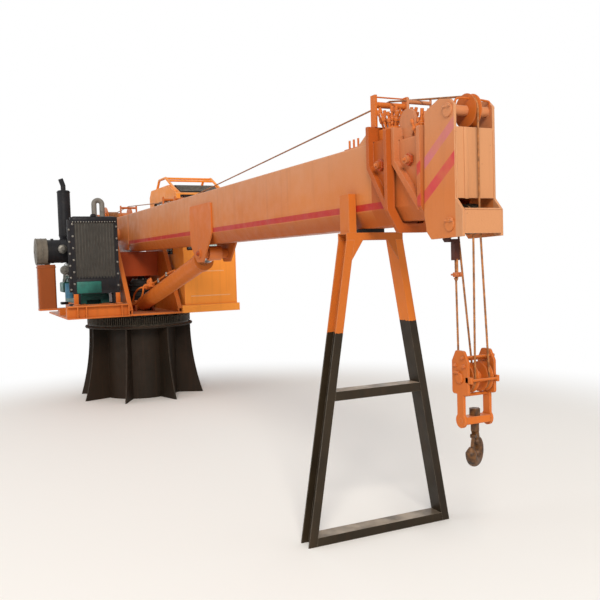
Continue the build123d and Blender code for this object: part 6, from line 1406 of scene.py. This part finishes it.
class CRANE_OT_finishes(bpy.types.Operator):
    """Paint, metal, rubber and glass on every piece of the fixed frame"""

    bl_idname = "crane.finishes"
    bl_label = "Finishes"

    WEARS = {
        "enamel_orange": (
            "turret_plate_left turret_plate_right slew_drive engine_bed luff_lugs luff_barrel winch_frame"
            " winch_drum rope_guides boom_tip block_frame block_sheave_left block_sheave_right crosshead"
            " head_sheave"),
        "enamel_deck": "turntable_deck",
        "enamel_turret": "turret_crossbox",
        "enamel_boom": "boom_base",
        "enamel_collar": "boom_mid",
        "enamel_tank": "fuel_tank",
        "enamel_head": "boom_head",
        "enamel_cab": "cab_shell cab_door cab_guard",
        "enamel_rest_near": "rest_leg_left rest_cross_members",
        "enamel_rest_far": "rest_leg_right",
        "enamel_black": "pedestal pedestal_gussets",
        # The lead and return sheaves take this dark steel as painted shade: they sit in the shaded opening
        # under the head's front plate
        "oiled_gear_steel": "slew_ring_gear slew_ring_inner slew_pinion lead_sheave return_sheave",
        "turned_steel": "boom_pivot_pin telescope_rod telescope_barrel",
        "hard_chrome": "luff_rod",
        "moulded_rubber": "rest_pads swivel_joint",
        "stove_black": "muffler radiator_frame cooling_fan control_console cab_seat",
        "cleaner_sheet": "air_cleaner",
        "engine_enamel": "engine_block",
        "engine_fitting": "engine_fittings",
        "radiator_fin": "radiator_core",
        "window_glass": "cab_glazing",
        "moulded_plastic": "lever_left lever_right",
        "red_lead": "wedge_socket",
        "forged_iron": "hook hook_latch",
        "greased_rope": "drum_rope hoist_rope_base hoist_rope_mid hoist_rope_tip falls",
    }

    def execute(self, context):
        for name, nodes in self.WEARS.items():
            for node in nodes.split():
                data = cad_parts[node].data
                data.materials.clear()
                data.materials.append(finish(name))
        return {"FINISHED"}


class CRANE_OT_stage(bpy.types.Operator):
    """Pale floor, soft light and the camera"""

    bl_idname = "crane.stage"
    bl_label = "Stage"

    def lamp(self, name, at, target, width, energy, colour):
        """Square area light that looks from a place to a target."""
        data = bpy.data.lights.new(name, "AREA")
        data.size = width
        data.energy = energy
        data.color = linear(colour)[:3]
        made = bpy.data.objects.new(name, data)
        made.matrix_world = Matrix.Translation(at) @ aim(Vector(at) - Vector(target))
        bpy.context.scene.collection.objects.link(made)

    def looked_at(self, tree):
        """1 for what is seen directly, in metal or through glass, 0 for what lights the crane."""
        rays = add(tree, "LightPath")
        seen = rays["Is Camera Ray"]
        for ray in ("Is Glossy Ray", "Is Transmission Ray"):
            seen = add(tree, "Math", {0: seen, 1: rays[ray]}, operation="MAXIMUM")[0]
        return seen

    def execute(self, context):
        stage = context.scene.crane_stage
        shape = bmesh.new()
        bmesh.ops.create_grid(shape, x_segments=1, y_segments=1, size=stage.floor_width / 2)
        mesh = bpy.data.meshes.new("floor")
        shape.to_mesh(mesh)
        shape.free()
        floor = bpy.data.objects.new("floor", mesh)
        context.scene.collection.objects.link(floor)

        material, tree, shader, coords = blank("pale_floor")
        mesh.materials.append(material)
        shader.inputs["Base Color"].default_value = linear("#F4F3F1")
        shader.inputs["Roughness"].default_value = 0.9
        # The floor clears to white with distance, so that no horizon shows
        middle = add(tree, "Mapping", {"Vector": coords["Object"], "Location": (-3.2, 0, 0)})["Vector"]
        reach = add(tree, "VectorMath", {0: middle}, operation="LENGTH")["Value"]
        clearing = {"Value": reach, "From Min": 3.1, "From Max": 5.6}
        far = add(tree, "MapRange", clearing, interpolation_type="SMOOTHSTEP")["Result"]
        white = add(tree, "Emission", {"Strength": 1.0})["Emission"]
        cleared = add(tree, "Math", {0: far, 1: self.looked_at(tree)}, operation="MULTIPLY")[0]
        mix = add(tree, "MixShader", {0: cleared, 1: shader.outputs["BSDF"], 2: white})
        tree.links.new(mix["Shader"], tree.nodes["Material Output"].inputs["Surface"])

        world = bpy.data.worlds.new("studio")
        context.scene.world = world
        world.use_nodes = True
        sky = world.node_tree
        steady = {"Value": self.looked_at(sky), "To Min": stage.sky_strength, "To Max": 1.0}
        strength = add(sky, "MapRange", steady)
        sky.links.new(strength["Result"], sky.nodes["Background"].inputs["Strength"])
        sky.nodes["Background"].inputs["Color"].default_value = (1, 1, 1, 1)

        self.lamp("key", (22.0, -8.0, 13.0), (3.0, 0, 1.5), 8.0, stage.key_energy, "#FFF6EA")
        self.lamp("fill", (1.0, -10.0, 4.5), (2.0, 0, 1.4), 6.0, stage.fill_energy, "#FFFFFF")

        lens = bpy.data.cameras.new("camera")
        lens.sensor_width = 36.0
        lens.lens = stage.lens
        lens.clip_end = 200.0
        camera = bpy.data.objects.new("camera", lens)
        context.scene.collection.objects.link(camera)
        turn = Matrix.Rotation(stage.heading, 4, "Z") @ Matrix.Rotation(stage.tilt, 4, "X")
        camera.matrix_world = Matrix.Translation(stage.eye) @ turn @ Matrix.Rotation(stage.roll, 4, "Z")
        context.scene.camera = camera
        context.scene.view_settings.view_transform = "Standard"
        return {"FINISHED"}


PAINT = {"size": 4, "subtype": "COLOR"}


class CraneColours(bpy.types.PropertyGroup):
    """Colours of the paints"""

    orange: FloatVectorProperty(
        name="Orange", description="Paint of the turret, bed and gear", default=linear("#C96B27"), **PAINT)
    # The boom's paler, hazier orange is a painted reflection of the sky
    boom: FloatVectorProperty(
        name="Boom", description="Faded paint of the boom", default=linear("#C5773F"), **PAINT)
    # The cab's brightness is partly painted light on its front
    cab: FloatVectorProperty(
        name="Cab", description="Paint of the cab", default=linear("#F5983C"), **PAINT)
    rest: FloatVectorProperty(
        name="Rest", description="Paint of the boom rest", default=linear("#C26A29"), **PAINT)
    black: FloatVectorProperty(
        name="Black", description="Paint of the pedestal", default=linear("#211B14"), **PAINT)


class CraneSizes(bpy.types.PropertyGroup):
    """Sizes of the hoist rope"""

    rope_diameter: FloatProperty(
        name="Rope diameter", description="Over the strands", default=0.010, unit="LENGTH")
    rope_lay: FloatProperty(
        name="Rope lay", description="Length of one turn of a strand", default=0.065, unit="LENGTH")


class CraneStage(bpy.types.PropertyGroup):
    """Camera, floor and light"""

    eye: FloatVectorProperty(
        name="Eye", description="Camera place", default=(9.0708, -2.1961, 1.55), subtype="XYZ", unit="LENGTH")
    heading: FloatProperty(
        name="Heading", description="Camera heading", default=math.radians(64.3269), subtype="ANGLE")
    tilt: FloatProperty(
        name="Tilt", description="Camera tilt from straight down", default=math.radians(86.9732),
        subtype="ANGLE")
    roll: FloatProperty(
        name="Roll", description="Camera roll", default=math.radians(-1.7027), subtype="ANGLE")
    lens: FloatProperty(
        name="Lens", description="Focal length in millimetres", default=45.375)
    floor_width: FloatProperty(
        name="Floor", description="Width of the floor", default=120.0, unit="LENGTH")
    sky_strength: FloatProperty(
        name="Sky", description="Strength of the light from all round", default=0.55)
    key_energy: FloatProperty(
        name="Key light", description="Power of the key light", default=4000.0, unit="POWER")
    fill_energy: FloatProperty(
        name="Fill light", description="Power of the fill light", default=150.0, unit="POWER")


OPERATORS = (
    CRANE_OT_stage, CRANE_OT_finishes, CRANE_OT_ropes, CRANE_OT_boom, CRANE_OT_head, CRANE_OT_hook,
    CRANE_OT_luffing, CRANE_OT_slewing, CRANE_OT_engine, CRANE_OT_radiator, CRANE_OT_breathing,
    CRANE_OT_winch, CRANE_OT_cab, CRANE_OT_seat, CRANE_OT_platform, CRANE_OT_rest,
)


class CRANE_PT_panel(bpy.types.Panel):
    bl_label = "Crane"
    bl_idname = "CRANE_PT_panel"
    bl_space_type = "VIEW_3D"
    bl_region_type = "UI"
    bl_category = "Crane"

    def draw(self, context):
        for name, group in GROUPS.items():
            for value in group.__annotations__:
                self.layout.prop(getattr(context.scene, name), value)
        for operator in OPERATORS:
            self.layout.operator(operator.bl_idname)


GROUPS = {"crane_colours": CraneColours, "crane_sizes": CraneSizes, "crane_stage": CraneStage}


def register():
    for kind in (*GROUPS.values(), *OPERATORS, CRANE_PT_panel):
        bpy.utils.register_class(kind)
    for name, kind in GROUPS.items():
        setattr(bpy.types.Scene, name, PointerProperty(type=kind))


def unregister():
    for name in GROUPS:
        delattr(bpy.types.Scene, name)
    for kind in reversed((*GROUPS.values(), *OPERATORS, CRANE_PT_panel)):
        bpy.utils.unregister_class(kind)


def main():
    register()
    for operator in OPERATORS:
        group, call = operator.bl_idname.split(".")
        getattr(getattr(bpy.ops, group), call)()


if __name__ == "__main__":
    main()
